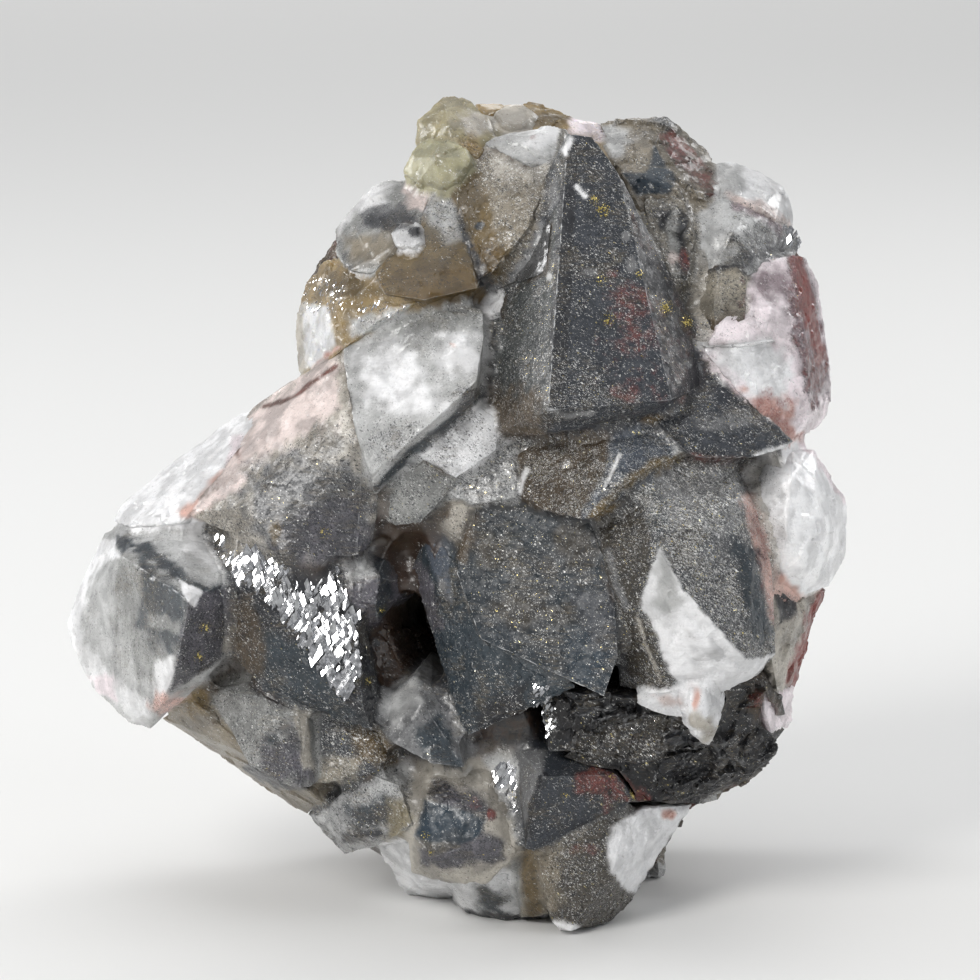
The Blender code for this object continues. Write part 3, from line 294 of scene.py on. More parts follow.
        (22.4, 5.4, -1), (21, 3.1, 0), (19, 1.6, 2), (17.5, 1.3, 4), (14.4, 0.6, 8), (13, 0.6, 8),
        (12.2, 1.5, 7.6), (11.7, 2.4, 7), (19.6, 8, 8.6), (14, 9, 10)], (17, 16, 8)),
    "sparkly_dome": ([(17.5, 52, 16), (18.6, 47, 19), (20.3, 41.5, 19), (21.8, 38, 18), (25.3, 30.7, 16.4),
        (19.5, 54.7, 16), (24, 58.5, 14.4), (29.2, 59.8, 12.4), (35, 58.2, 11), (37.7, 53.5, 11),
        (39.5, 46.5, 11), (39.8, 38.5, 11), (40, 35.2, 11), (38, 32.6, 12), (33, 30.1, 13.4),
        (27, 30.7, 15.4), (24.2, 55.6, 18.6), (25.2, 48.3, 24), (28.3, 43.5, 24), (32.5, 38.7, 22.4),
        (36.4, 34.6, 18.6), (22.8, 41.3, 20), (33.6, 54.6, 17.4), (37, 46, 17), (20.2, 37, 14),
        (20.6, 31, 12)], (30, 18, 46)),
    "lens": ([(39, 58.8, 8), (42, 61, 6), (44.8, 60.8, 3), (45.6, 59, 1), (46.9, 57, -1), (48.7, 54.9, -3),
        (49, 52.5, -4), (48.7, 50.4, -4), (48.8, 48, -4), (47.9, 45.5, -3), (46.7, 43.8, -1), (43, 42, 4),
        (40.3, 43.8, 8), (38.3, 49, 10), (38, 54.4, 10), (42, 57.4, 11.4), (45, 55, 9), (46, 50, 8),
        (43.6, 46.4, 9.6), (41.4, 50, 12.4)], (34, 20, 50)),
    "green_strip": ([(39.4, 43, 9), (45.8, 43, -1), (46.3, 43.4, -4), (45, 40.5, -4), (44, 37.5, -4),
        (42.6, 33.5, -4), (42.2, 31, -3), (40.2, 30.6, 6), (39.2, 36, 10), (43, 40, 5)], (32, 18, 40)),
    "pink_foot": ([(38.6, 31.6, 7), (42.2, 31.2, -2), (41.9, 29.5, -3), (42.1, 27, -3), (41.5, 25.9, -2),
        (39.4, 25.6, 4), (38.6, 28, 7)], (32, 18, 34)),
    "white_chip": ([(22.4, 29, 17), (28.2, 31, 17.4), (28.4, 27.2, 17.4), (25, 27.9, 18.6), (24, 30.4, 16)],
        (28, 8, 38)),
    "stained_chip": ([(28.3, 26.4, 15.6), (28.8, 31, 17.6), (31.4, 30.6, 17.4), (32.9, 26, 14.4),
        (31.5, 23.4, 13.4), (29.8, 27, 18.2)], (30, 8, 38)),
    "grey_plate": ([(2.4, 54.1, 12), (10, 53.3, 14.2), (16.6, 51.7, 16.4), (18.2, 48, 17.6),
        (19.7, 44.3, 18.4), (20.2, 35, 19.8), (18.5, 30, 19.8), (13.5, 32.5, 18), (8, 35, 16),
        (3.1, 37.1, 14.4), (1.7, 41, 13.4), (0.1, 45.3, 12.2), (0.6, 49, 11.8)], (12, 16, 44)),
    "left_blade": ([(-3.4, 51.2, 8), (-0.8, 47.5, 10.4), (3, 37.5, 13.4), (10, 33.5, 15.6), (15, 31, 16.6),
        (-4.2, 48, 7), (-5.6, 46, 5), (-4.8, 42.7, 6), (-2.6, 38, 8), (-1, 33, 9.6), (0, 28, 11),
        (1.5, 25, 12), (6, 28.3, 14.4), (10.5, 31.3, 16), (-2.6, 44, 9.6)], (5, 14, 38)),
}

# Colours of the mineral, as linear red, green and blue
PALETTE = {
    "snow": (0.90, 0.90, 0.91), "bright": (0.80, 0.80, 0.81), "white": (0.68, 0.68, 0.685),
    "pale": (0.46, 0.463, 0.46), "cream": (0.42, 0.39, 0.34), "tan": (0.23, 0.198, 0.148),
    "beige": (0.21, 0.19, 0.155), "straw": (0.27, 0.23, 0.145), "honey": (0.26, 0.185, 0.080),
    "amber": (0.135, 0.092, 0.034), "deep_honey": (0.11, 0.068, 0.018), "olive": (0.31, 0.275, 0.17),
    "lemon": (0.36, 0.34, 0.22), "grey": (0.17, 0.172, 0.176), "smoke": (0.29, 0.293, 0.283),
    "iron": (0.085, 0.087, 0.092), "umber": (0.095, 0.084, 0.068), "ash": (0.044, 0.050, 0.061),
    "moss": (0.062, 0.068, 0.066), "slate": (0.035, 0.048, 0.059), "teal": (0.016, 0.032, 0.049),
    "brown": (0.088, 0.064, 0.040), "russet": (0.13, 0.068, 0.052), "dark_brown": (0.045, 0.023, 0.011),
    "pink": (0.66, 0.42, 0.36), "rose": (0.68, 0.58, 0.55), "blush": (0.86, 0.77, 0.80),
    "mauve": (0.30, 0.24, 0.26), "rust": (0.55, 0.24, 0.13), "red": (0.22, 0.045, 0.034),
    "violet": (0.120, 0.114, 0.132), "charcoal": (0.027, 0.028, 0.032), "black": (0.010, 0.009, 0.009),
    "gloom": (0.016, 0.026, 0.036), "ochre": (0.170, 0.130, 0.070), "bark": (0.052, 0.043, 0.030),
    "steel": (0.085, 0.100, 0.125), "sand": (0.30, 0.27, 0.215),
}

# Looks of each crystal: finish, tint, share of dark grains, of bright grains (painted glints), and how its
# faces weather
LOOKS = {
    "spire": ("dark", "ash", 0.62, 0.40, "flat"),
    "spire_skin": ("clear", "grey", 0.30, 0.15, "flat"),
    "spire_chip": ("white", "bright", 0.05, 0.2, "smooth"),
    "honey_upper": ("honey", "olive", 0.10, 0.12, "smooth"),
    "honey_lower": ("honey", "lemon", 0.03, 0.2, "smooth"),
    "top_band": ("honey", "honey", 0.10, 0.1, "lumpy"),
    "top_lump": ("white", "cream", 0.06, 0.1, "smooth"),
    "white_top": ("white", "pale", 0.10, 0.25, "smooth"),
    "brown_sparkly": ("grey", "tan", 0.38, 0.7, "grainy"),
    "crown_right": ("grey", "tan", 0.30, 0.22, "lumpy"),
    "mottled": ("grey", "beige", 0.5, 0.4, "chipped"),
    "white_cleavage": ("white", "white", 0.03, 0.1, "smooth"),
    "pale_tip": ("white", "pale", 0.16, 0.12, "flat"),
    "beige_block": ("grey", "sand", 0.60, 0.2, "flat"),
    "white_ledge": ("white", "white", 0.16, 0.1, "smooth"),
    "pink_block": ("white", "blush", 0.08, 0.3, "grainy"),
    "dark_wedge": ("dark", "ash", 0.60, 0.4, "grainy"),
    "band_crystal": ("dark", "steel", 0.42, 0.75, "grainy"),
    "dotted_cream": ("white", "bright", 0.28, 0.15, "flat"),
    "grey_cream": ("grey", "smoke", 0.50, 0.4, "flat"),
    "speckled_fan": ("grey", "pale", 0.55, 0.4, "stepped"),
    "cream_wedge": ("grey", "cream", 0.28, 0.15, "flat"),
    "smoky_white": ("white", "smoke", 0.20, 0.12, "plain"),
    "smoky_bump": ("white", "white", 0.10, 0.1, "smooth"),
    "grey_tipped": ("honey", "amber", 0.24, 0.12, "flat"),
    "honey_left": ("honey", "honey", 0.05, 0.2, "stepped"),
    "big_white": ("white", "pale", 0.16, 0.2, "plain"),
    "pink_grey": ("grey", "cream", 0.34, 0.14, "plain"),
    "white_rim": ("white", "bright", 0.01, 0.08, "smooth"),
    "phantom_left": ("white", "pale", 0.14, 0.10, "plain"),
    "glitter_point": ("dark", "charcoal", 0.55, 0.3, "stepped"),
    "nook": ("grey", "dark_brown", 0.4, 0.1, "lumpy"),
    "knob": ("grey", "violet", 0.3, 0.12, "smooth"),
    "speckled_left": ("grey", "smoke", 0.34, 0.25, "plain"),
    "left_rim": ("white", "tan", 0.14, 0.15, "smooth"),
    "low_grey": ("grey", "ash", 0.6, 0.7, "grainy"),
    "dark_phantom": ("grey", "pale", 0.36, 0.2, "stepped"),
    "small_grey": ("grey", "grey", 0.2, 0.15, "flat"),
    "framed": ("grey", "cream", 0.14, 0.1, "smooth"),
    "foot_left": ("white", "bright", 0.02, 0.1, "smooth"),
    "foot_mid": ("white", "white", 0.1, 0.1, "smooth"),
    "honey_foot": ("honey", "tan", 0.20, 0.1, "smooth"),
    "mirror_strip": ("white", "pale", 0.12, 0.5, "stepped"),
    "down_blade": ("dark", "ash", 0.5, 0.25, "flat"),
    "foot_right": ("dark", "umber", 0.56, 0.5, "grainy"),
    "sparkly_dome": ("dark", "iron", 0.62, 1.2, "grainy"),
    "lens": ("white", "snow", 0.02, 0.08, "smooth"),
    "green_strip": ("grey", "cream", 0.16, 0.1, "chipped"),
    "pink_foot": ("white", "blush", 0.08, 0.12, "chipped"),
    "white_chip": ("white", "bright", 0.04, 0.15, "smooth"),
    "stained_chip": ("white", "bright", 0.06, 0.2, "smooth"),
    "grey_plate": ("dark", "gloom", 0.50, 0.26, "flat"),
    "left_blade": ("dark", "slate", 0.36, 0.2, "grainy"),
}

# Weathering: lump height and size, step height and spacing, chip depth at the edges, rounding passes
WEATHER = {
    "flat": (0.05, 2.8, 0.04, 1.6, 0.12, 0),
    "plain": (0.08, 5.2, 0.05, 2.4, 0.16, 1),
    "smooth": (0.16, 4.8, 0.04, 2.4, 0.18, 2),
    "soft": (0.10, 3.2, 0.0, 2.0, 0.0, 0),
    "lumpy": (0.34, 4.4, 0.08, 2.0, 0.25, 2),
    "grainy": (0.10, 1.8, 0.08, 1.3, 0.20, 1),
    "chipped": (0.26, 3.6, 0.16, 2.4, 0.40, 0),
    "stepped": (0.09, 3.4, 0.20, 1.8, 0.25, 0),
    "rock": (0.42, 3.8, 0.16, 2.2, 0.35, 1),
}


def area(corners, reach, **changes):
    """Paint inside a polygon of the front view, with an edge as soft as its reach."""
    return "area", corners, reach, changes


def line(points, reach, **changes):
    """Paint along a line of the front view, to its reach on either side."""
    return "line", points, reach, changes


def spot(middle, half_widths, reach, **changes):
    """Paint on an oval of the front view, with an edge as soft as its reach."""
    return "spot", (middle, half_widths), reach, changes


# Paint on each crystal, on the body between them and on the rock, in millimetres. Later paint covers
# earlier paint. Each says what it changes: tint, dark grains, bright grains (painted glints), red stain,
# flakes or edge (a painted highlight along the ridges).
PAINT = {
    "spire": [
        area([(9, 91), (14, 100.6), (13, 94), (12.4, 84), (11.6, 65), (4, 62), (2.5, 76)], 0.3, tint="moss",
             dark=0.55, spark=0.42),
        area([(8.6, 91), (13.6, 99), (12.4, 90), (9.6, 86)], 1.2, dark=0.72, tint="ash"),
        area([(14, 100.6), (15.2, 99), (14.6, 84), (13.6, 66), (11.5, 65.6), (12.2, 84), (13, 94)], 0.3,
             tint="charcoal", dark=0.8, spark=0.3),
        area([(4, 68), (11, 68), (11.4, 62), (4, 61)], 2.4, tint="brown", dark=0.35),
        line([(7.4, 90), (9.4, 86), (10.4, 78)], 0.7, dark=0.85, spark=0.7),
        area([(17.6, 82), (24, 83), (29.5, 77), (31.6, 70), (27, 65), (20, 67), (17, 74)], 4.0, stain=0.40),
        area([(21, 95), (24, 88), (31.4, 72), (31, 69), (27, 67), (24.7, 78), (22.4, 87)], 0.4,
             tint="charcoal", dark=0.75, spark=0.18, stain=0.2),
        area([(12, 73), (17, 71), (24, 66), (12, 65)], 2.0, dark=0.75, spark=0.7),
        line([(14, 100.2), (12.9, 92), (12.4, 84), (11.9, 74), (11.5, 65.7)], 1.0, edge=1.15),
        line([(20.3, 95.5), (22.4, 87), (24.7, 78), (27, 67)], 1.0, edge=0.75),
        line([(21.4, 94.2), (24.4, 90.4), (26.2, 87), (28, 83), (29.5, 79.8)], 0.5, tint="grey", dark=0.02,
             spark=0),
        line([(11.5, 65.8), (14.2, 65.0), (17, 65.4)], 0.35, tint="grey", dark=0.1),
        line([(13.7, 98.0), (14.3, 99.6)], 0.5, tint="bright", dark=0),
        line([(15.1, 93.7), (16.2, 92.5)], 0.28, tint="bright", dark=0),
        spot((16.9, 83.0), (1.3, 0.5), 0.3, tint="grey", dark=0.05),
        spot((21.9, 84.0), (0.7, 1.1), 0.3, tint="grey", dark=0.05),
        spot((21.2, 87.4), (0.6, 0.5), 0.3, tint="grey", dark=0.1),
        spot((11.7, 82.4), (0.4, 0.6), 0.2, tint="pale", dark=0.05),
        area([(11, 93), (12.6, 95.4), (12.8, 92), (11.6, 90.5)], 0.5, tint="grey", dark=0.3),
    ],
    "spire_skin": [
        line([(9.2, 89.6), (6, 87), (4.8, 84), (3.8, 81)], 0.6, tint="pale"),
    ],
    "honey_upper": [
        spot((2.6, 101.6), (2.4, 1.5), 1.0, tint="cream", spark=0.4),
        spot((1.5, 97.8), (2.4, 2.0), 1.2, tint="honey", dark=0.3),
    ],
    "top_band": [
        area([(7, 102.6), (16, 103.4), (15, 101.6), (7, 101)], 1.2, tint="amber"),
        area([(14.6, 104), (20.5, 101.6), (19, 99), (14, 100.6)], 0.8, tint="blush"),
    ],
    "white_top": [
        spot((9.9, 99.8), (0.7, 0.5), 0.3, tint="red", dark=0.3),
        spot((12.1, 100.0), (0.8, 0.3), 0.3, dark=0.7),
        area([(9, 101), (13.6, 101.4), (13.4, 98.6), (9, 98.6)], 1.2, tint="white", dark=0.05),
        line([(13.6, 101.2), (12.4, 96.4)], 0.5, tint="beige", dark=0.65),
    ],
    "brown_sparkly": [
        area([(-0.6, 95), (2.4, 95.6), (4.4, 91), (6.4, 86), (5, 81), (2.2, 84), (-0.6, 90)], 1.8,
             tint="amber", spark=0.15, dark=0.2),
        area([(2.6, 86.6), (5.6, 86.6), (5.6, 80.6), (3.6, 81)], 1.0, tint="deep_honey", spark=0.1,
             dark=0.3),
        area([(3.4, 98.8), (12, 98.8), (12.2, 95), (8, 94.6), (5, 95.6)], 1.8, tint="cream", dark=0.15),
        spot((2.9, 88.8), (0.5, 0.5), 0.15, tint="slate", dark=0.9),
    ],
    "smoky_white": [
        # Grey patch and charcoal line in the hollow: painted shade
        area([(-12, 91.8), (-5, 91.6), (-4.4, 88), (-6, 87.4), (-9, 88.4), (-12, 88.6)], 1.4, tint="grey",
             dark=0.55),
        line([(-10.8, 89.6), (-8.6, 89.0), (-6.8, 89.4), (-5.4, 88.6)], 0.8, tint="charcoal", dark=1.0),
        area([(-6.8, 94), (-4, 93.4), (-3.6, 91), (-6, 90.6)], 1.0, tint="rose", dark=0.1),
        area([(-14, 87.4), (-5, 88), (-4.6, 84), (-13, 83.4)], 1.6, tint="tan", dark=0.15),
        area([(-15, 92.6), (-10.6, 94), (-7, 94.6), (-9, 92), (-12.6, 90.6), (-14.6, 88)], 1.2,
             tint="white", dark=0.06),
        line([(-14.8, 86.6), (-13.9, 85.4), (-13.5, 83.4)], 0.5, dark=0.75),
    ],
    "smoky_bump": [
        # Black spot in the pit beside the bump: painted shade
        spot((-5.1, 88.0), (0.7, 0.6), 0.4, tint="black", dark=0.95),
        line([(-8, 88.6), (-6, 89.6)], 0.7, tint="grey", dark=0.6),
    ],
    "grey_tipped": [
        area([(-5.6, 87.6), (-2, 94.6), (2.4, 88), (-1.4, 86.8)], 2.2, tint="ochre", dark=0.42, spark=0.1),
        area([(-4.8, 90.4), (-2.2, 94.8), (0.4, 91.4), (1.8, 87.4), (-1.6, 87.6)], 2.0, tint="pale",
             spark=0.2),
        area([(-9, 85.4), (-4, 86), (-2, 82), (-9, 80)], 1.8, tint="amber", dark=0.25, spark=0.03),
        area([(-8, 82.6), (2, 84.2), (3.4, 80), (-8, 78.6)], 1.8, tint="deep_honey", dark=0.18, spark=0.03),
        spot((-2.0, 93.0), (0.9, 0.8), 0.4, dark=0.7),
        line([(0.2, 91.6), (1, 88.4), (2.2, 85.4), (3.4, 81.2)], 0.5, tint="charcoal", dark=0.95),
        area([(1.2, 88.4), (4.4, 85.6), (3.6, 82), (2.4, 85)], 0.4, tint="beige", dark=0.5),
        area([(-4, 81), (4.2, 81), (3.6, 78), (-4, 78)], 0.7, tint="deep_honey", dark=0.05, spark=0),
        spot((1.0, 79.4), (0.5, 0.35), 0.12, tint="black", dark=1),
        spot((3.4, 79.1), (0.7, 0.5), 0.3, tint="black", dark=1),
    ],
    "honey_left": [
        area([(-19.6, 79), (-16, 78.6), (-15, 74), (-17, 71), (-20.4, 71)], 0.6, tint="white", dark=0.03),
        line([(-20.3, 78), (-20.2, 74), (-19.9, 71)], 1.2, tint="cream"),
        area([(-14.4, 73.6), (-17, 71.6), (-18.4, 70), (-17.6, 71.6), (-15, 73.9)], 0.5, tint="pink",
             stain=0.45),
        area([(-16, 83.6), (-9, 81), (-12, 79.4), (-18, 80)], 1.2, tint="amber", dark=0.1),
        area([(-13, 79), (-6, 80), (-6, 77), (-12, 76.6)], 0.8, glint=0.22),
        area([(-18.4, 82.6), (-14, 82), (-14, 77), (-18.8, 77.6)], 0.8, glint=0.15),
        area([(-13.6, 77.2), (-6, 78.6), (-6, 76.4), (-13, 75)], 0.9, tint="pale", dark=0.2),
    ],
    "big_white": [
        area([(-12, 72.6), (-8, 74.6), (-5.6, 73.4), (-4, 69.4), (-1.6, 66), (-5, 65), (-10.6, 66.6)], 2.6,
             tint="bright", dark=0.0),
        area([(-2.2, 75.6), (2, 75), (3.2, 72), (0.6, 69.6), (-2, 71.4)], 2.2, tint="snow", dark=0.0),
        area([(-11, 64), (-5, 64.6), (-2, 65), (-7, 58), (-11, 57)], 1.8, dark=0.34, tint="pale"),
        area([(4.4, 69.4), (0, 66.2), (-6.6, 60.6), (-10.6, 56.8), (-8, 54), (0, 61), (5, 65.6)], 0.5,
             tint="pale", dark=0.3),
        line([(3.6, 68.2), (0.4, 65.4), (-3.0, 62.6), (-6.2, 59.8), (-10.0, 56.0)], 0.45, tint="slate",
             dark=0.6),
        spot((1.6, 67.8), (1.8, 1.0), 0.8, dark=0.7),
        spot((-0.4, 73.8), (0.35, 0.3), 0.15, tint="rust", stain=0.2),
        area([(-12.4, 78), (-2, 79), (3.6, 78.4), (3.4, 76), (-6, 75.6), (-13, 75)], 1.3, tint="smoke",
             dark=0.22),
    ],
    "pink_grey": [
        area([(-14.2, 74), (-22, 69), (-30, 61), (-28, 57.4), (-18, 63), (-13, 66)], 2.6, tint="rose",
             dark=0.06),
        line([(-14, 70), (-13.6, 66), (-12, 61), (-11, 57)], 0.9, tint="cream", stain=0.15),
        line([(-15, 71.2), (-18, 69.2), (-20.6, 67.2), (-24, 66.2)], 0.28, tint="russet", stain=0.45),
        line([(-28.4, 63.6), (-28.6, 60), (-30, 56.6), (-33, 54)], 1.3, tint="pink", dark=0.04),
        line([(-27.2, 61.6), (-27.6, 59.6)], 0.3, tint="russet", stain=0.4),
        area([(-27, 57.4), (-22, 60), (-13, 60), (-10.4, 54), (-12, 46), (-25, 48)], 3.6, tint="grey",
             dark=0.45),
        area([(-22, 51.6), (-16, 55), (-11, 55), (-10, 47), (-22, 46)], 2.6, tint="violet", dark=0.85),
        area([(-31, 58), (-27.6, 60), (-26, 56.6), (-33, 52.6)], 0.8, tint="rose", stain=0.2, dark=0.1),
        spot((-22.6, 50.6), (0.7, 1.3), 0.5, tint="amber", dark=0.3),
    ],
    "white_rim": [
        line([(-27.4, 62), (-28, 58.4)], 0.7, tint="blush", stain=0.3, dark=0.2),
        line([(-29, 57.4), (-31, 55), (-34, 53)], 0.7, tint="pink", stain=0.15),
    ],
    "phantom_left": [
        area([(-42.6, 49.6), (-38, 48), (-32, 43.4), (-31, 36), (-35, 31.4), (-40, 33), (-43, 40)], 2.4,
             tint="smoke", dark=0.28),
        area([(-38.6, 46), (-35.4, 44.6), (-33.4, 41.6), (-35.4, 34.6), (-39.4, 38.4)], 1.6, tint="slate",
             dark=0.62),
        line([(-40.4, 41.4), (-38, 39.4), (-35.6, 38.8)], 0.9, tint="smoke", dark=0.25),
        line([(-38.8, 46.2), (-38.4, 42.6), (-39.4, 39)], 0.7, tint="slate", dark=0.5),
        line([(-42, 49), (-39, 48.3), (-36.6, 46.6), (-34.4, 44.8), (-31.6, 43.2), (-29.6, 43.2)], 0.8,
             tint="slate", dark=0.7),
        area([(-33.4, 42.4), (-27, 44), (-26.4, 40), (-29.6, 34.4), (-35.8, 30.6), (-34.8, 35.4)], 0.5,
             tint="violet", dark=0.82, spark=0.3),
        area([(-27.4, 43.6), (-25.8, 43), (-28.4, 35.2), (-29.4, 35.6)], 0.6, tint="cream", dark=0.2),
        area([(-33, 50.6), (-28, 47.4), (-26, 45.9), (-29.4, 45.4), (-34.6, 48.6)], 0.9, tint="white",
             dark=0.05),
        area([(-34.9, 44.9), (-31.6, 43.1), (-32.6, 40.9), (-33.8, 42)], 0.2, tint="bright", dark=0.0),
        area([(-37.4, 34.6), (-35, 35.2), (-35.2, 32), (-37, 29.2), (-38.2, 30)], 0.5, tint="white",
             dark=0.05),
        line([(-45.6, 47.4), (-47.4, 42.6), (-48.2, 38.4), (-46.4, 34), (-44, 31.4)], 1.1, tint="bright",
             dark=0.0),
        line([(-46.4, 35), (-43, 31), (-39.4, 28)], 1.3, tint="white", dark=0.05),
        area([(-45.6, 49.4), (-42.6, 49.6), (-42.2, 47.4), (-44.6, 46.6)], 0.5, tint="bright", dark=0.0),
        area([(-46, 32.6), (-42.8, 32.4), (-42.4, 29.4), (-45, 30.4)], 0.8, tint="blush"),
        line([(-36.8, 29), (-33, 28.6), (-31, 30)], 1.2, tint="pink", dark=0.3),
        spot((-43.4, 41.6), (1.4, 1.0), 1.2, tint="pale", dark=0.0),
    ],
    "glitter_point": [
        area([(-31, 51), (-25, 53), (-22, 49.6), (-25, 43.4), (-29, 47)], 1.0, tint="beige", dark=0.5,
             glint=0.4),
        area([(-28, 47), (-24, 48.4), (-17.6, 49.4), (-13, 43), (-11.8, 34), (-13.6, 30), (-17, 33),
             (-20, 38), (-25, 43.4), (-27, 44)], 0.8, glint=1.0),
        area([(-28, 42), (-26, 42.6), (-22, 33), (-26, 32), (-28.4, 35)], 1.2, tint="brown", dark=0.4,
             glint=0),
        area([(-24, 38), (-19, 36.4), (-15.4, 30.4), (-11, 26.6), (-15, 26.6), (-24, 31)], 1.2,
             tint="slate", dark=0.5, glint=0.02),
    ],
    "nook": [
        spot((-10.0, 36.6), (0.55, 0.5), 0.12, tint="black", dark=1),
    ],
    "knob": [
        # Pale upper left of the knob: a painted highlight
        area([(-14.6, 46), (-10.4, 48), (-10, 45), (-13.4, 44)], 1.4, tint="pale", dark=0.15),
        line([(-9.4, 46.6), (-8.6, 43.6), (-9.4, 40.4)], 0.8, tint="slate", dark=0.4),
    ],
    "speckled_left": [
        area([(-23.6, 24.6), (-19, 25.6), (-18, 18.6), (-25, 20)], 2.8, tint="violet", dark=0.6),
        spot((-22.8, 24.4), (0.8, 0.7), 0.4, tint="slate", dark=0.5),
        area([(-20.4, 28.6), (-18.4, 28), (-17.8, 21), (-19, 21)], 0.5, tint="cream", dark=0.15),
        line([(-33, 29), (-29.4, 32.2), (-26, 33)], 0.8, tint="brown", dark=0.3),
        line([(-25, 31.4), (-22.4, 29.6), (-20, 29)], 0.7, tint="dark_brown", dark=0.7),
    ],
    "left_rim": [
        line([(-30.4, 31.8), (-33, 28.4)], 1.2, tint="honey", dark=0.25),
        line([(-26, 21), (-22, 18.8), (-18.6, 18.6)], 0.5, tint="charcoal", dark=0.6),
    ],
    "low_grey": [
        area([(-18, 22.4), (-12, 22), (-12, 19), (-18, 19)], 1.4, tint="sand", dark=0.3),
        area([(-14, 26), (-9, 26), (-7, 21), (-12, 22)], 1.0, tint="deep_honey", dark=0.3),
    ],
    "dark_phantom": [
        line([(-18.6, 15.4), (-15, 17.8), (-10.8, 20.4)], 0.6, tint="charcoal", dark=0.85, spark=0.6),
        area([(-13.4, 16.4), (-8, 17.6), (-8.4, 14.4), (-12.6, 12.8)], 1.8, tint="slate", dark=0.5),
        line([(-10.8, 14.4), (-9.4, 15.4), (-8, 15.8)], 0.6, tint="charcoal", dark=0.85),
        line([(-13.8, 12.2), (-11.4, 12.6), (-9.4, 13)], 0.5, tint="charcoal", dark=0.8),
        area([(-8.2, 17), (-5.6, 17), (-6, 12), (-9, 12)], 1.4, tint="straw", dark=0.15),
    ],
    "small_grey": [
        area([(-5, 26), (-2, 27.6), (1, 21), (-4, 22)], 1.0, tint="slate", dark=0.4),
        area([(-9.8, 29), (-5, 32.6), (-4.2, 29.4), (-8, 26)], 1.0, tint="pale", dark=0.1),
    ],
    "framed": [
        area([(-3.4, 20), (0.6, 18.6), (3.6, 17), (4.4, 14.6), (0, 15.6), (-3.8, 16.6)], 1.2, tint="violet",
             dark=0.62),
        area([(-5, 12.6), (3.4, 13), (6, 12), (6.2, 9.6), (-1, 8.6), (-4.4, 9)], 0.9, tint="violet",
             dark=0.55),
        area([(-4.2, 17.4), (0, 16.1), (3.9, 14.8), (2.8, 12.4), (0.6, 11.4), (-3, 10.2), (-5.4, 12.4)],
             0.4, tint="teal", dark=0.12, spark=0.16),
        area([(-4.6, 11.6), (-1, 11.8), (0.6, 11.2), (-3, 9.8)], 0.6, tint="umber", dark=0.5),
        spot((2.4, 16.6), (1.4, 0.9), 0.8, stain=0.35),
        spot((4.4, 15.2), (0.6, 0.7), 0.3, tint="red", stain=0.6, dark=0.6),
        line([(-3.6, 20.4), (-5, 17.4), (-5.8, 12.6), (-5.4, 8.4)], 0.9, tint="cream", dark=0.05),
        line([(-4, 21), (0, 21.2), (3.8, 20), (6.2, 16), (6.4, 13)], 0.9, tint="cream", dark=0.08),
    ],
    "foot_mid": [
        area([(2.6, 6), (5.6, 6), (6, 2.4), (3, 2.4)], 1.6, tint="slate", dark=0.4),
        line([(1, 2.8), (6, 2.2), (10, 2.2)], 0.6, tint="charcoal", dark=0.4),
    ],
    "mirror_strip": [
        area([(3.8, 22.8), (6.6, 22.4), (8, 19), (6.6, 18), (4.8, 19)], 0.5, glint=0.9),
        area([(2.6, 24.6), (7, 24.6), (8, 22.4), (3, 21.6)], 0.6, tint="cream", dark=0.25),
        area([(6, 18.4), (8.6, 18.4), (10, 12), (8, 11)], 0.5, tint="grey", dark=0.45, glint=0.22),
        area([(8.4, 12.4), (10, 12), (10, 10), (8, 10.6)], 0.4, tint="slate", dark=0.6),
    ],
    "down_blade": [
        area([(7.8, 23.4), (11.2, 23.4), (10.9, 19.6), (8.9, 13), (7.6, 17)], 0.4, tint="grey", dark=0.16),
        line([(11, 20), (9.4, 15), (9, 12.6)], 0.5, tint="charcoal", dark=0.7),
        area([(13.6, 21), (20, 21), (22, 17.6), (19.6, 16), (17, 17.4), (15, 17)], 2.0, tint="black",
             dark=0.5, stain=0.58, spark=0.35),
        spot((18.2, 18.8), (1.3, 1.1), 0.8, stain=0.85),
        spot((15.9, 19.8), (0.9, 0.8), 0.6, stain=0.8),
    ],
    "foot_right": [
        area([(19.4, 13.6), (24, 16.6), (30, 17), (25.6, 10.4), (22.6, 5), (20.6, 6.4), (18.8, 9.6)], 0.7,
             tint="bright", dark=0.0, spark=0.1, stain=0),
        area([(10.4, 12.4), (14, 15.2), (17.6, 14.8), (15.8, 12.6), (11.4, 11)], 0.6, tint="beige",
             dark=0.2),
        area([(9.6, 11.6), (13, 11), (12.8, 3), (9.6, 2.4)], 1.4, tint="tan", dark=0.3),
        spot((16.4, 10.6), (2.4, 1.0), 0.8, stain=0.3),
        line([(12.4, 1.6), (14.6, 0.8)], 0.7, tint="bright", dark=0),
        spot((26.6, 15.2), (0.9, 0.6), 0.5, stain=0.5, tint="pink"),
    ],
    "honey_foot": [
        area([(6.4, 12), (8.6, 11), (8.4, 2), (6, 2)], 1.2, tint="smoke", dark=0.12),
        line([(9.4, 12.4), (9.0, 8), (9.8, 3)], 0.9, tint="amber", dark=0.2),
    ],
    "crown_right": [
        area([(24.8, 98.6), (27.6, 94.6), (26.6, 92.6), (22.6, 92.6), (20.8, 95.4), (23.8, 95.4)], 0.35,
             tint="teal", dark=0.35, spark=0.15),
        area([(25.2, 101.4), (28.6, 100.4), (33.4, 93.4), (32, 91.6), (29, 94.4), (26, 98.4)], 1.0,
             tint="brown", stain=0.55, dark=0.55, spark=0.08),
        area([(27.4, 102.4), (30, 99.4), (32.6, 97), (31, 96), (28, 99)], 0.8, tint="beige", dark=0.25),
        spot((26.2, 101.8), (1.4, 1.0), 0.7, tint="grey", dark=0.45, spark=0.5),
        area([(18, 101.6), (22, 101), (21, 97), (19, 97)], 1.0, tint="pale", dark=0.10),
    ],
    "mottled": [
        area([(24.4, 90.6), (28.8, 91), (29, 86), (28.8, 82), (27.6, 82.4), (26, 88)], 0.9, tint="black",
             dark=0.85, stain=0.12, spark=0.2),
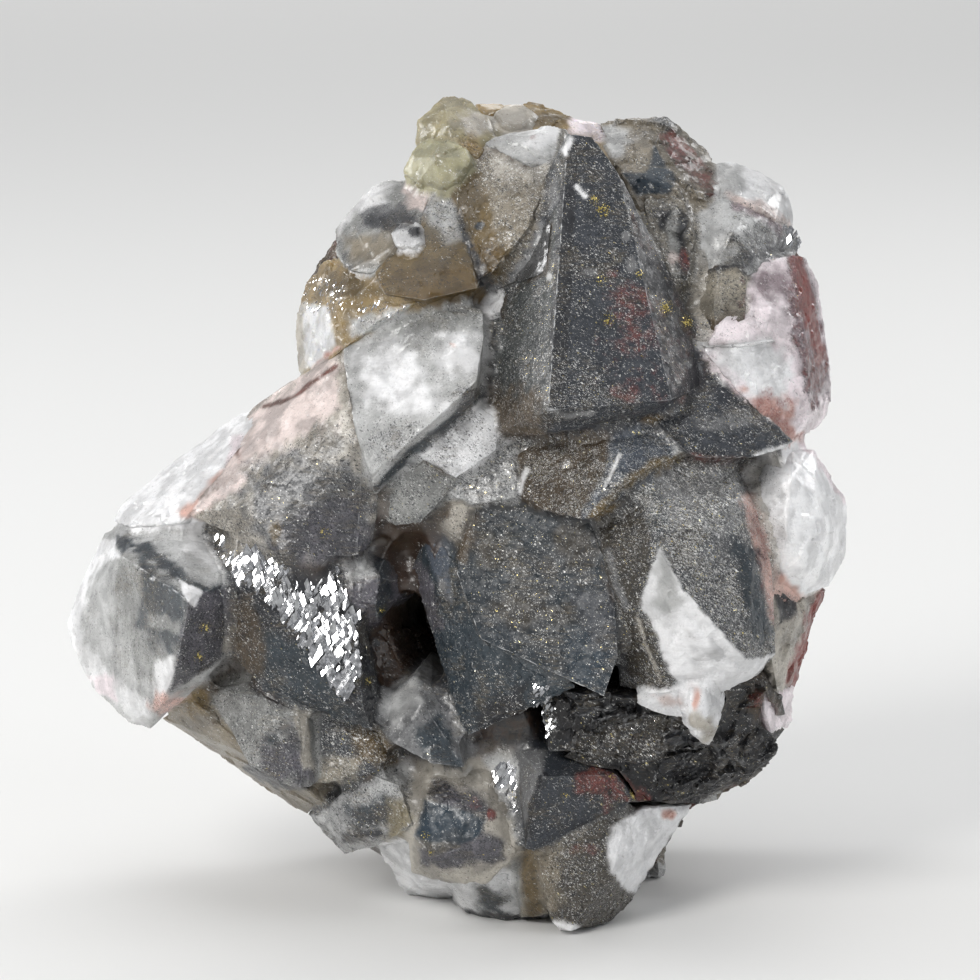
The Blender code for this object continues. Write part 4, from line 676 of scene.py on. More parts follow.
        line([(27.6, 90.6), (26.8, 88.4), (27.2, 86.4), (26.9, 84), (27.8, 82.6)], 0.6, tint="smoke",
             dark=0.3),
        spot((27.0, 84.6), (0.6, 1.0), 0.5, tint="rose", dark=0.2),
        spot((28.6, 84.4), (0.6, 1.4), 0.4, tint="red", dark=0.9),
    ],
    "white_cleavage": [
        area([(32.4, 97), (36, 96.4), (36, 93), (33, 92)], 0.8, tint="pale", dark=0.12),
        area([(34, 93), (39.6, 91.2), (42.4, 88.6), (40, 88.8), (34, 91.4)], 0.7, tint="rose", dark=0.3,
             stain=0.08),
    ],
    "pale_tip": [
        area([(36.4, 91.2), (42.6, 88), (43, 86), (38.6, 83), (35.8, 84.6), (35.8, 88)], 4.2, tint="smoke",
             dark=0.85, spark=0.3),
        line([(36, 84.4), (39, 85.8), (41.6, 87.4)], 1.0, tint="grey", dark=0.8),
        line([(35.4, 91.6), (37, 91), (39.6, 89.6), (41.6, 88)], 0.9, tint="mauve", dark=0.6),
        area([(40.8, 88.6), (43, 87.4), (42.8, 85.8), (41, 86)], 0.4, glint=0.6, tint="pale"),
    ],
    "beige_block": [
        line([(35.6, 82.4), (35.8, 79), (35.9, 75.6)], 0.7, stain=0.4, dark=0.8),
        area([(28.4, 85), (31.4, 82.6), (32, 77.6), (29, 77)], 0.7, tint="beige", dark=0.06),
        area([(30, 77.6), (35.8, 76.8), (36, 75), (30.4, 75)], 0.6, tint="brown", dark=0.15),
        spot((31.5, 76.4), (0.35, 0.5), 0.15, tint="black", dark=1),
        line([(32, 83.4), (34, 84), (35.4, 84), (36.3, 82.8)], 0.4, tint="charcoal", dark=0.85),
    ],
    "pink_block": [
        area([(41.4, 85), (43.4, 85), (46, 79), (46.6, 68), (44.6, 66), (42.6, 72), (41.6, 78)], 1.4,
             tint="mauve", stain=0.55, dark=0.62),
        area([(42.2, 85.4), (43.2, 85.2), (44.8, 79), (46.4, 72), (45.2, 71.4), (43.4, 78)], 0.6,
             tint="red", stain=0.9, dark=0.36, spark=0.12),
        line([(44.4, 84.4), (45.8, 80.6), (46, 77.6)], 0.7, tint="blush", stain=0.05, dark=0.2),
        spot((39.4, 66.0), (2.8, 2.2), 1.3, tint="pink", stain=0.85, dark=0.2),
        spot((36, 68.4), (0.8, 0.5), 0.5, tint="pink", stain=0.6),
        area([(40, 65), (43, 62.6), (45, 62), (42, 60.6), (39, 63.6)], 0.9, tint="pink", stain=0.85),
        area([(36.6, 82.4), (41.6, 84.4), (42, 80), (37, 79.6)], 1.8, tint="mauve", dark=0.15),
        area([(31.4, 73), (37, 75), (42, 72), (41, 66.6), (37, 67.6)], 1.6, tint="bright", spark=0.4,
             dark=0.03),
    ],
    "dark_wedge": [
        line([(29.5, 59.9), (33, 59.4), (36, 59.2), (38.6, 58.5)], 0.5, tint="russet", stain=0.4,
             dark=0.85),
        area([(23.4, 65), (27.6, 67.2), (27, 65), (24.6, 64)], 0.5, tint="deep_honey", dark=0.2),
        area([(30, 64.6), (38, 66.4), (37, 64), (31, 63)], 1.0, tint="grey", dark=0.5),
        area([(37, 60.4), (42, 61.6), (41, 59.6), (38, 58.6)], 0.5, tint="white", dark=0.1),
    ],
    "band_crystal": [
        area([(7.6, 60.6), (12.4, 63.6), (19.8, 63.4), (18.8, 59), (15.4, 52), (10.6, 53), (7.6, 55)], 0.6,
             tint="brown", dark=0.42, spark=0.85),
        line([(7.9, 55.6), (8.8, 58.2)], 0.35, tint="bright", dark=0, spark=1),
        area([(26.6, 63), (29, 62.4), (28.6, 60), (27, 60)], 0.5, tint="pale", dark=0.2),
        line([(20.4, 60), (18.6, 56.2)], 0.22, tint="white", dark=0.1),
        line([(17, 52.2), (20, 55.4), (24, 58.6), (29, 60)], 0.7, tint="amber", dark=0.35),
    ],
    "dotted_cream": [
        line([(2.2, 66.7), (5.2, 64.6)], 0.5, tint="white", dark=0),
    ],
    "speckled_fan": [
        area([(-0.4, 57.4), (2.6, 58), (3, 55.4), (0, 55)], 0.6, dark=0.66),
    ],
    "grey_cream": [
        line([(-7.4, 51.6), (-4.4, 51.8), (-1.4, 54.8)], 0.6, dark=0.75),
        line([(-10, 55), (-10, 53)], 0.6, tint="dark_brown", dark=0.4),
    ],
    "cream_wedge": [
        area([(-3.2, 54.6), (-0.6, 54.2), (-0.8, 52.4), (-2.6, 51)], 0.6, tint="brown", dark=0.4),
        area([(1.4, 53.4), (3, 53.6), (2.6, 48), (0.6, 50)], 0.6, tint="umber", dark=0.4),
    ],
    "sparkly_dome": [
        area([(21.6, 56.4), (25, 59), (35, 58.6), (37, 54), (35, 50), (27, 51), (23, 54)], 1.2, tint="grey",
             spark=1.6, dark=0.6),
        area([(25.5, 48.7), (28.3, 43.5), (32.5, 38.7), (36.3, 34.6), (39.8, 35.2), (36.4, 31), (30, 30),
             (26.4, 33), (24.2, 39.5), (22.8, 41.5), (24.2, 45.5)], 0.22, tint="bright", dark=0.0,
             spark=0.02, edge=0),
        area([(25.4, 48.4), (27.4, 45), (28.6, 42), (26.4, 40), (24.6, 42)], 1.4, tint="pale", dark=0.05,
             spark=0.02),
        area([(17.6, 52), (23.4, 54), (24.6, 48), (23, 42), (21, 38), (19.6, 42), (18.4, 47)], 0.8,
             tint="bark", dark=0.60, spark=0.5),
        line([(19.2, 48), (20, 44), (22, 39.6), (24.4, 33)], 0.5, tint="grey", dark=0.3),
        area([(20.4, 40), (22.6, 41), (24.4, 38), (27, 31), (24, 30.4), (21.6, 33)], 0.8, tint="bark",
             dark=0.5, spark=0.5),
        line([(22.6, 40), (23.9, 36), (25.6, 32)], 0.22, tint="cream", dark=0.3),
        line([(36.5, 54.5), (37.8, 50), (38.8, 45), (39.8, 40)], 0.9, tint="pink", stain=0.42, dark=0.3),
        area([(34.6, 50), (38, 48), (39.6, 38), (39, 36), (36.6, 38)], 1.2, tint="slate", dark=0.5,
             spark=0.15),
        area([(23.4, 53.4), (24.6, 56.6), (26.4, 52), (24.8, 49)], 0.8, tint="slate"),
    ],
    "lens": [
        area([(37.6, 57.6), (40.4, 58.6), (41.2, 52), (40, 45.4), (38.4, 45)], 1.6, tint="bright",
             dark=0.14),
        line([(43, 61.4), (45, 60.4), (46.8, 57.2), (48.8, 54.6)], 0.5, tint="blush", dark=0.1),
        line([(40, 45), (42.4, 42.6)], 0.8, tint="pink", stain=0.2),
    ],
    "green_strip": [
        line([(46.4, 43.2), (45, 40.2), (44.4, 37.6), (42.8, 33.6), (42.4, 31)], 1.0, tint="red",
             stain=0.6),
        area([(39.6, 44.4), (42.2, 43), (42.4, 40), (40.2, 38.6)], 0.7, tint="charcoal", dark=0.5,
             stain=0.2),
    ],
    "pink_foot": [
        spot((39.6, 30), (1.1, 1.4), 0.8, stain=0.35),
    ],
    "stained_chip": [
        line([(29.4, 31.2), (30.2, 30.4), (29.8, 28.8)], 0.35, tint="pink", stain=0.25),
        area([(29, 28), (32, 27), (33, 25), (31, 24)], 1.2, tint="cream"),
    ],
    "white_chip": [
        line([(28.8, 31.2), (29.4, 29.6)], 0.3, tint="pink", stain=0.3),
        area([(25, 30), (29, 30), (29, 28.4), (26, 28.8)], 1.0, tint="rose"),
    ],
    "grey_plate": [
        line([(0.2, 45.2), (2, 40.6), (3.2, 37.2), (5, 36), (10, 34), (16, 31), (18.6, 30)], 1.0, edge=1.3),
        area([(13, 38), (19, 40), (20, 34), (18.4, 30.4), (14, 32.6)], 1.6, tint="teal", dark=0.42),
        area([(2, 50), (8, 51), (8, 46), (2, 46)], 2.0, tint="moss", dark=0.5),
        spot((4.6, 48), (2.6, 2.0), 1.6, tint="bark", dark=0.62, spark=0.34),
        spot((8.2, 41), (3.2, 2.4), 1.8, tint="bark", dark=0.62, spark=0.34),
        spot((15, 48.6), (2.6, 2.6), 1.6, tint="bark", dark=0.72),
        spot((11.6, 46), (1.6, 1.0), 1.2, tint="bark", dark=0.7),
        spot((13.4, 40.4), (2.0, 1.2), 1.2, tint="bark", dark=0.66),
        line([(2.4, 54), (8, 53.6), (16.4, 52)], 0.4, tint="black", dark=1),
        area([(-0.4, 52), (2.4, 53), (1.4, 46), (-0.4, 48)], 0.8, tint="brown", dark=0.2),
        area([(14, 43), (20, 44), (20, 36), (17, 36)], 1.4, tint="ash", dark=0.6),
    ],
    "left_blade": [
        area([(-3.4, 51.4), (-1, 48), (-0.4, 41), (-2.4, 44), (-3.8, 48)], 0.4, tint="steel", dark=0.2,
             spark=0.1),
        area([(-5.6, 46.4), (-4.4, 47.4), (-2.8, 43.6), (-1.6, 38.6), (-3, 38), (-5.2, 42)], 0.8,
             tint="violet", dark=0.34),
        spot((-1.8, 43.8), (0.5, 1.0), 0.4, tint="grey", dark=0.1),
        area([(3, 29), (9, 31.6), (8, 27), (3, 24.6)], 1.0, tint="black", dark=0.9, glint=0.03),
        area([(9.6, 31.4), (12, 31.4), (11.6, 28.6), (9.8, 27.6)], 0.3, glint=0.4),
    ],
    "body": [
        area([(36.6, 59), (41, 60.4), (41, 43), (37.6, 41)], 1.0, tint="cream", dark=0.2, spark=0.3),
        area([(39.6, 46), (43.6, 43.6), (43, 39), (39.6, 39)], 1.0, tint="pink", dark=0.2),
        area([(29, 86), (36, 84), (37, 75), (30, 74)], 1.4, tint="cream", dark=0.25),
        area([(1, 28), (10, 28), (11, 24.6), (6, 23.4), (2, 24.6)], 0.8, tint="charcoal", dark=0.8,
             stain=0.3),
        area([(-10, 52), (-2, 52), (-1, 40), (-9, 38)], 1.0, tint="dark_brown", dark=0.15),
        area([(-6, 42), (-1, 42), (1, 28), (-6, 29)], 1.0, tint="black", dark=0.6),
        area([(-10, 56), (-3, 54), (-3, 44), (-8, 38), (-11, 40)], 1.2, tint="dark_brown", dark=0.1),
    ],
    "rock": [
        area([(11, 22), (20, 27), (32, 27.6), (31, 24), (22, 22), (12, 20)], 1.4, tint="bark", dark=0.66,
             spark=0.5, stain=0.10, glint=0.04),
        area([(8.8, 31), (12.2, 31), (12.6, 25.4), (10.4, 24.6)], 0.5, glint=0.4, spark=0.8),
        line([(14, 21.6), (22, 20.6), (30, 21)], 0.9, tint="black", dark=0.9),
        spot((28, 24.6), (2.0, 1.0), 0.6, tint="black", dark=1.0, spark=0),
        area([(36.6, 31), (40, 30), (41, 27), (37, 26.6)], 1.0, tint="brown", stain=0.5),
        line([(14, 20), (17.6, 18.4), (20.6, 18.8), (23.6, 17)], 1.2, stain=0.9),
    ],
}

# Brass-yellow grains: place across and up, and reach
BRASS_SPOTS = [
    (17.2, 92.0, 0.6), (18.4, 90.6, 0.9), (18.1, 82.0, 0.6), (19.1, 77.0, 0.8), (26.2, 78.6, 0.8),
    (28.9, 76.8, 0.7), (23.0, 82.7, 0.5), (-16.4, 50.4, 0.6), (-31.4, 38.6, 0.6), (-32.2, 35.0, 0.6),
    (-10.9, 31.9, 0.5), (26.4, 19.0, 0.7), (28.1, 18.0, 0.5), (22.2, 17.5, 0.6), (7.8, 26.3, 0.8),
    (35.8, 22.5, 0.6), (-3.8, 12.6, 0.5), (-3.2, 10.5, 0.4), (19.4, 20.0, 0.4), (16.6, 28.4, 0.7),
    (15.9, 26.6, 0.5), (33.4, 26.0, 0.5), (13.6, 17.6, 0.4), (-9.2, 40.6, 0.4),
]

# Lights: name, place as a direction from the specimen, distance, size, power, colour
LIGHTS = [
    ("key", (-0.50, -0.74, 0.58), 1.05, 0.42, 5.9, (1.0, 0.985, 0.96)),
    ("fill", (0.85, -0.50, 0.30), 1.15, 0.50, 1.7, (0.95, 0.975, 1.0)),
    ("left_rim", (-0.88, 0.30, 0.32), 0.85, 0.35, 2.6, (1.0, 1.0, 1.0)),
    ("right_rim", (0.72, 0.52, 0.50), 0.95, 0.35, 2.2, (1.0, 1.0, 1.0)),
    ("back", (-0.10, 0.95, 0.45), 3.2, 1.5, 15.0, (1.0, 0.99, 0.97)),
    ("sky_panel", (0.0, 0.10, 1.0), 6.0, 8.0, 168.0, (1.0, 1.0, 1.0)),
]
AIM = Vector((0, 0, 0.05))
SKY = (0.93, 0.95, 1.0)
SKY_STRENGTH = 0.22

# The floor: how far it is level and the radius of the bend that turns it up, in metres, then through
# how many degrees and in how many rows it bends, and how many sectors it has
FLOOR_RADIUS = 4.2
FLOOR_BEND = 2.0
FLOOR_TURN = 75
FLOOR_ROWS = 16
FLOOR_SECTORS = 96

# The filling of the seams between crystals, in metres: how far they swell shut, how far it then lies
# below the faces, how fine it is and how often it is smoothed
SEAM_FILL = 0.0008
SEAM_SUNK = 0.00035
FILL_GRAIN = 0.0006
FILL_PASSES = 8

# The way to the viewer, and the way that a flake faces to send the key light there
VIEW_WAY = Vector((0, -math.cos(LOOK_DOWN), math.sin(LOOK_DOWN)))
GLINT_WAY = (Vector(LIGHTS[0][1]).normalized() + VIEW_WAY).normalized()


# What a user would change
class SpecimenSizes(bpy.types.PropertyGroup):
    """Sizes of the faces and grains"""
    fine: bpy.props.FloatProperty(
        name="Front faces", description="Spacing of points where the front shows",
        default=0.0004, min=0.0002, precision=5, unit="LENGTH")
    side: bpy.props.FloatProperty(
        name="Side faces", description="Spacing of points on the sides and back",
        default=0.0013, min=0.0004, precision=5, unit="LENGTH")
    buried: bpy.props.FloatProperty(
        name="Buried faces", description="Spacing of points inside a neighbour",
        default=0.0045, min=0.001, precision=5, unit="LENGTH")
    flake: bpy.props.FloatProperty(
        name="Glint flake", description="Length of a mirror-bright cleavage flake",
        default=0.0025, min=0.0002, precision=5, unit="LENGTH")
    flake_density: bpy.props.FloatProperty(
        name="Flakes", description="Flakes to a square centimetre at most",
        default=370.0, min=0)
    brass_grain: bpy.props.FloatProperty(
        name="Brass grain", description="Width of a brass-yellow grain",
        default=0.00026, min=0.0001, precision=5, unit="LENGTH")
    brass_density: bpy.props.FloatProperty(
        name="Brass grains", description="Grains to a square centimetre in a brass spot",
        default=1300.0, min=0)


class SpecimenColours(bpy.types.PropertyGroup):
    """Colours of the grains and the stage"""
    dust: bpy.props.FloatVectorProperty(
        name="Hematite dust", description="Colour of the dark included dust",
        default=(0.032, 0.035, 0.042), size=3, min=0, max=1, subtype="COLOR")
    speck: bpy.props.FloatVectorProperty(
        name="Dark grains", description="Colour of the darkest grains",
        default=(0.014, 0.016, 0.021), size=3, min=0, max=1, subtype="COLOR")
    # The pale grains are painted glints
    bright: bpy.props.FloatVectorProperty(
        name="Bright grains", description="Colour of the pale grains",
        default=(0.78, 0.78, 0.76), size=3, min=0, max=1, subtype="COLOR")
    stain: bpy.props.FloatVectorProperty(
        name="Red stain", description="Colour of the iron stain",
        default=(0.22, 0.050, 0.040), size=3, min=0, max=1, subtype="COLOR")
    brass: bpy.props.FloatVectorProperty(
        name="Brass", description="Colour of the brass-yellow grains",
        default=(0.74, 0.62, 0.24), size=3, min=0, max=1, subtype="COLOR")
    # Colour of the seams: brown seam colour and painted shade where crystals meet
    seam_colour_and_shade: bpy.props.FloatVectorProperty(
        name="Seams", description="Colour where crystals meet",
        default=(0.055, 0.036, 0.020), size=3, min=0, max=1, subtype="COLOR")
    floor: bpy.props.FloatVectorProperty(
        name="Floor", description="Colour of the floor",
        default=(0.80, 0.80, 0.79), size=3, min=0, max=1, subtype="COLOR")


# Solids in numbers
def hull(points):
    """A bmesh with flat faces: the convex hull of the points, with level faces merged."""
    shape = bmesh.new()
    for point in points:
        shape.verts.new(point)
    bmesh.ops.convex_hull(shape, input=shape.verts)
    loose = [vert for vert in shape.verts if not vert.link_faces]
    bmesh.ops.delete(shape, geom=loose, context="VERTS")
    bmesh.ops.dissolve_limit(shape, angle_limit=math.radians(FLAT), verts=shape.verts, edges=shape.edges)
    bmesh.ops.recalc_face_normals(shape, faces=shape.faces)
    return shape


class Solid:
    """A closed shape in millimetres, with its planes where it is convex and its sharp edges."""

    def __init__(self, shape, convex=True):
        shape.normal_update()
        ridges = [edge for edge in shape.edges
                  if len(edge.link_faces) == 2 and edge.calc_face_angle() > math.radians(RIDGE)]
        self.ridges = np.array([[end.co[:] for end in edge.verts] for edge in ridges]).reshape(-1, 2, 3)
        bmesh.ops.triangulate(shape, faces=shape.faces)
        self.points = np.array([vert.co[:] for vert in shape.verts])
        shape.verts.index_update()
        self.faces = np.array([[vert.index for vert in face.verts] for face in shape.faces])
        self.low, self.high = self.points.min(axis=0), self.points.max(axis=0)
        self.planes = None
        if convex:
            ways = np.array([face.normal[:] for face in shape.faces])
            starts = self.points[self.faces[:, 0]]
            self.planes = ways, (ways * starts).sum(axis=1)
        shape.free()

    def depth(self, points):
        """How far points stand outside: below nought inside."""
        ways, far = self.planes
        return (points @ ways.T - far).max(axis=1)


def crystal_points(name):
    """The corners of a crystal and the points of its buried root."""
    corners, root = CRYSTALS[name]
    return [seen(*corner) for corner in corners] + around(inside(*root), ROOT_GIRTH)


SOLIDS = {name: Solid(hull(crystal_points(name))) for name in CRYSTALS}


def neighbours(solid, own_name):
    """The other solids whose boxes come near this one."""
    low = solid.low - KEPT_REACH
    high = solid.high + KEPT_REACH
    return [other for name, other in SOLIDS.items()
            if name != own_name and (other.low < high).all() and (other.high > low).all()]


def nearest(points, others):
    """The least distance outside the other solids."""
    found = np.full(len(points), FAR_AWAY)
    for other in others:
        near = ((points > other.low - KEPT_REACH) & (points < other.high + KEPT_REACH)).all(axis=1)
        if near.any():
            found[near] = np.minimum(found[near], other.depth(points[near]))
    return found


def search_tree(*names):
    """A search tree over the faces of the solid parts, in millimetres."""
    points, faces = [], []
    for name in names:
        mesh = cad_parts[name].data
        first = len(points)
        points += [vert.co / MM for vert in mesh.vertices]
        faces += [[first + index for index in face.vertices] for face in mesh.polygons]
    return BVHTree.FromPolygons(points, faces)


WHOLE = search_tree("calcite_cluster", "host_rock")
CLUSTER = search_tree("calcite_cluster")


def near_skin(points, tree, reach):
    """Whether the skin of the solid part passes within reach of each point."""
    return np.array([tree.find_nearest(Vector(point), reach)[0] is not None for point in points], bool)


def skin_distance(points, tree, limit):
    """The distance from each point to the skin of the solid part, up to a limit."""
    found = [tree.find_nearest(Vector(point), limit)[3] for point in points]
    return np.array([limit if away is None else away for away in found])


def in_view(points):
    """Whether nothing stands between each point and the viewer."""
    return np.array([WHOLE.ray_cast(Vector(point) + OFF_THE_SKIN * VIEW_WAY, VIEW_WAY)[0] is None
                     for point in points], bool)


def divide(faces, marks, points):
    """Splits triangles at their marked edges, keeping the surface closed."""
    count = (marks >= 0).sum(axis=1)
    made = [faces[count == 0]]

    def keep(*corners):
        made.append(np.stack(corners, 1))

    a, b, c, middle, _, _ = corners_of(faces, marks, count == 1, lambda mark: mark.argmax(axis=1))
    keep(a, middle, c)
    keep(middle, b, c)
    a, b, c, first, second, _ = corners_of(faces, marks, count == 2,
                                           lambda mark: (mark.argmin(axis=1) + 1) % 3)
    keep(first, b, second)
    short = (np.linalg.norm(points[a] - points[second], axis=1)
             < np.linalg.norm(points[first] - points[c], axis=1))
    keep(a[short], first[short], second[short])
    keep(a[short], second[short], c[short])
    keep(a[~short], first[~short], c[~short])
    keep(first[~short], second[~short], c[~short])
    a, b, c, first, second, third = corners_of(faces, marks, count == 3)
    keep(a, first, third)
    keep(first, b, second)
    keep(third, second, c)
    keep(first, second, third)
    return np.concatenate(made)


def corners_of(faces, marks, picked, start=None):
    """The corners and marks of the picked triangles, in columns, turned to start at the given corner."""
    faces, marks = faces[picked], marks[picked]
    if start:
        order = (start(marks)[:, None] + np.arange(3)) % 3
        faces, marks = np.take_along_axis(faces, order, 1), np.take_along_axis(marks, order, 1)
    return (*faces.T, *marks.T)


def refine(points, faces, wanted, shortest, longest, rounds=14):
    """Divides a closed mesh of triangles until its edges are near the wanted length."""
    for _ in range(rounds):
        ends = np.sort(np.concatenate([faces[:, [0, 1]], faces[:, [1, 2]], faces[:, [2, 0]]]), axis=1)
        keys, index = np.unique(ends[:, 0] * len(points) + ends[:, 1], return_inverse=True)
        edges = np.stack([keys // len(points), keys % len(points)], 1)
        middle = points[edges].mean(axis=1)
        length = np.linalg.norm(points[edges[:, 0]] - points[edges[:, 1]], axis=1)
        split = length > SPLIT_OVER * longest
        judged = (length > SPLIT_OVER * shortest) & ~split
        split[judged] = length[judged] > SPLIT_OVER * wanted(middle[judged])
        if not split.any():
            break
        number = np.full(len(edges), -1)
        number[split] = len(points) + np.arange(split.sum())
        points = np.vstack([points, middle[split]])
        faces = divide(faces, number[index.reshape(-1)].reshape(3, -1).T, points)
    return points, faces


def refined(solid):
    """The solid divided finely where it shows in front, less finely elsewhere and coarsely inside."""
    sizes = bpy.context.scene.specimen_sizes
    fine, side, buried = sizes.fine / MM, sizes.side / MM, sizes.buried / MM

    def wanted(middle):
        outside = near_skin(middle, WHOLE, NEAR_THE_SKIN)
        length = np.where(outside, side, buried)
        length[outside] = np.where(in_view(middle[outside]), fine, side)
        return length

    return refine(solid.points, solid.faces, wanted, fine, buried)


def spot_tree(spots):
    """A search tree over single spots."""
    tree = kdtree.KDTree(len(spots))
    for number, place in enumerate(spots):
        tree.insert(place, number)
    tree.balance()
    return tree


def distance_to_ridges(points, ridges):
    """Distance to the nearest sharp edge, in space."""
    spots = [start + (end - start) * share for start, end in ridges
             for share in np.linspace(0, 1, 2 + int(np.linalg.norm(end - start) / RIDGE_STEP))]
    if not spots:
        return np.full(len(points), FAR_AWAY)
    tree = spot_tree(spots)
    return np.array([tree.find(point)[2] for point in points])


def distance_to_lines(points, segments):
    """Distance to the nearest of some straight lines."""
    found = np.full(len(points), FAR_AWAY)
    for start, end in segments:
        along = end - start
        share = np.clip((points - start) @ along / max(along @ along, 1e-9), 0, 1)
        found = np.minimum(found, np.linalg.norm(points - start - share[:, None] * along, axis=1))
    return found


def rounded(points, faces, weight, passes):
    """Draws points toward the middle of their neighbours, by their weight."""
    ends = np.concatenate([faces[:, [0, 1]], faces[:, [1, 2]], faces[:, [2, 0]]])
    count = np.bincount(ends[:, 0], minlength=len(points))[:, None]
    for _ in range(passes):
        total = np.stack([np.bincount(ends[:, 0], points[ends[:, 1], i], len(points)) for i in range(3)], 1)
        points = points + weight[:, None] * 0.5 * (total / np.maximum(count, 1) - points)
    return points


# Paint
def inside_area(across, up, corners):
    """Signed distance to a polygon in the front view, above nought inside."""
    flat = np.stack([across, up], 1)
    corners = np.array(corners, float)
    ends = np.roll(corners, -1, axis=0)
    reach = distance_to_lines(flat, list(zip(corners, ends)))
    crossed = np.zeros(len(flat), bool)
    for (x0, y0), (x1, y1) in zip(corners, ends):
        if y0 == y1:
            continue
        crossed ^= ((y0 > up) != (y1 > up)) & (across < x0 + (up - y0) * (x1 - x0) / (y1 - y0))
    return np.where(crossed, reach, -reach)


def cover(kind, shape, reach, across, up, wobble):
    """How far paint covers each point, from nought to one."""
    if kind == "area":
        edge = inside_area(across, up, shape)
    elif kind == "line":
        track = np.array(shape, float)
        edge = reach - distance_to_lines(np.stack([across, up], 1), list(zip(track[:-1], track[1:])))
    else:
        (x, y), (wide, high) = shape
        edge = (1 - np.hypot((across - x) / wide, (up - y) / high)) * min(wide, high)
    share = np.clip(0.5 + (edge + wobble * reach * WOBBLE_SHARE) / (FADE_SHARE * reach), 0, 1)
    return share * share * (3 - 2 * share)


def field(points, size, seed):
    """Smooth noise at each point, from about -1 to 1."""
    return np.array([noise.noise(Vector((x / size + seed, y / size, z / size))) for x, y, z in points])


def lay(coats, share, changes):
    """Lays changed paint over the coats by its share at each point."""
    for coat, value in changes.items():
        if coat == "tint":
            coats[coat] += share[:, None] * (np.array(PALETTE[value]) - coats[coat])
        else:
            coats[coat] += share * (value - coats[coat])


def brass_nests(across, up):
    """How far each point lies in a nest of brass-yellow grains."""
    share = np.zeros(len(across))
    for x, y, reach in BRASS_SPOTS:
        share = np.maximum(share, np.exp(-(np.hypot(across - x, up - y) / reach) ** 2))
    return share


def painted(name, points, open_ones):
    """The paint of a piece at its points: its own look, then each patch that lies over it."""
    _, tint, dark, spark, _ = LOOKS[name]
    across, up, _ = front_view(points)
    coats = {"tint": np.tile(PALETTE[tint], (len(points), 1)), "dark": np.full(len(points), dark),
             "spark": np.full(len(points), spark), "stain": np.zeros(len(points)),
             "glint": np.zeros(len(points)), "edge": np.full(len(points), PLAIN_EDGE)}
    wobble = field(points, WOBBLE_SIZE, WOBBLE_SEED)
    for kind, shape, reach, changes in PAINT.get(name, ()):
        lay(coats, cover(kind, shape, reach, across, up, wobble), changes)
    coats["glint"] *= open_ones
    coats["brass"] = brass_nests(across, up) * open_ones
    return coats


# Meshes and objects
def plain_mesh(name, points, faces):
    """A smooth mesh in metres from points in millimetres."""
    mesh = bpy.data.meshes.new(name)
    mesh.from_pydata((points * MM).tolist(), [], faces.tolist())
    mesh.shade_smooth()
    return mesh


def keep_coats(mesh, coats):
    """Writes paint to the mesh as point attributes, which the materials read."""
    for name, values in coats.items():
        if values.ndim == 2:
            colour = np.concatenate([values, np.ones((len(values), 1))], axis=1).astype(np.float32)
            mesh.attributes.new(name, "FLOAT_COLOR", "POINT").data.foreach_set("color", colour.ravel())
        else:
            made = mesh.attributes.new(name, "FLOAT", "POINT")
            made.data.foreach_set("value", values.astype(np.float32))


def new_object(name, mesh):
    """An object in the scene."""
    made = bpy.data.objects.new(name, mesh)
    bpy.context.scene.collection.objects.link(made)
    return made


def applied(obj):
    """Turns what the modifiers show into a plain mesh, and takes the modifiers off."""
    graph = bpy.context.evaluated_depsgraph_get()
    mesh = bpy.data.meshes.new_from_object(obj.evaluated_get(graph))
    mesh.name = obj.data.name
    obj.modifiers.clear()
    obj.data = mesh
    return obj


def carry(obj, node):
    """Rides the piece on the specimen and hides the solid that it stands for."""
    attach(obj, "root")
    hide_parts(node)


# Trees of nodes
def put(tree, socket, value):
    """Links a socket to another, or sets it to a number, a vector or a colour."""
    if isinstance(value, bpy.types.NodeSocket):
        tree.links.new(value, socket)
    elif socket.type == "RGBA" and len(value) == 3:
        socket.default_value = (*value, 1)
    else:
        socket.default_value = value


def feed(tree, node, values):
    """Feeds a node's inputs by their names."""
    for name, value in values.items():
        put(tree, node.inputs[name], value)
    return node


def add(tree, kind, *values, mode=None, **settings):
    """A node with its inputs fed by place: None is left alone."""
    made = tree.nodes.new(kind)
    for name, value in settings.items():
        setattr(made, name, value)
    if mode:
        made.operation = mode
    for socket, value in zip(made.inputs, values):
        if value is not None:
            put(tree, socket, value)
    return made


def calc(tree, mode, *values, clamp=False):
    """A sum of numbers."""
    return add(tree, "ShaderNodeMath", *values, mode=mode, use_clamp=clamp).outputs[0]


def plus(tree, one, two, clamp=False):
    return calc(tree, "ADD", one, two, clamp=clamp)


def minus(tree, one, two):
    return calc(tree, "SUBTRACT", one, two)


def times(tree, one, two, clamp=False):
    return calc(tree, "MULTIPLY", one, two, clamp=clamp)


def vector(tree, mode, *values):
    """A sum of vectors."""
    return add(tree, "ShaderNodeVectorMath", *values, mode=mode).outputs[0]


def dot(tree, one, two):
    return add(tree, "ShaderNodeVectorMath", one, two, mode="DOT_PRODUCT").outputs["Value"]


def ramp(tree, value, low, high, start=0.0, end=1.0):
    """Smooth step of a value from low to high, giving start to end."""
    made = add(tree, "ShaderNodeMapRange", value, low, high, start, end, interpolation_type="SMOOTHSTEP")
    return made.outputs[0]


def blend(tree, share, one, two):
    """Mixes two colours by a share."""
    made = add(tree, "ShaderNodeMix", data_type="RGBA")
    for number, value in ((0, share), (6, one), (7, two)):
        put(tree, made.inputs[number], value)
    return made.outputs[2]


def cloud(tree, place, scale, detail=2.0, rough=0.5):
    """Noise between nought and one."""
    made = feed(tree, add(tree, "ShaderNodeTexNoise"),
                {"Vector": place, "Scale": scale, "Detail": detail, "Roughness": rough})
    return made.outputs[0]


def foam_of(tree, place, size):
    """Cells of a foam of the given size."""
    return feed(tree, add(tree, "ShaderNodeTexVoronoi"),
                {"Vector": place, "Scale": calc(tree, "DIVIDE", 1.0, size)})


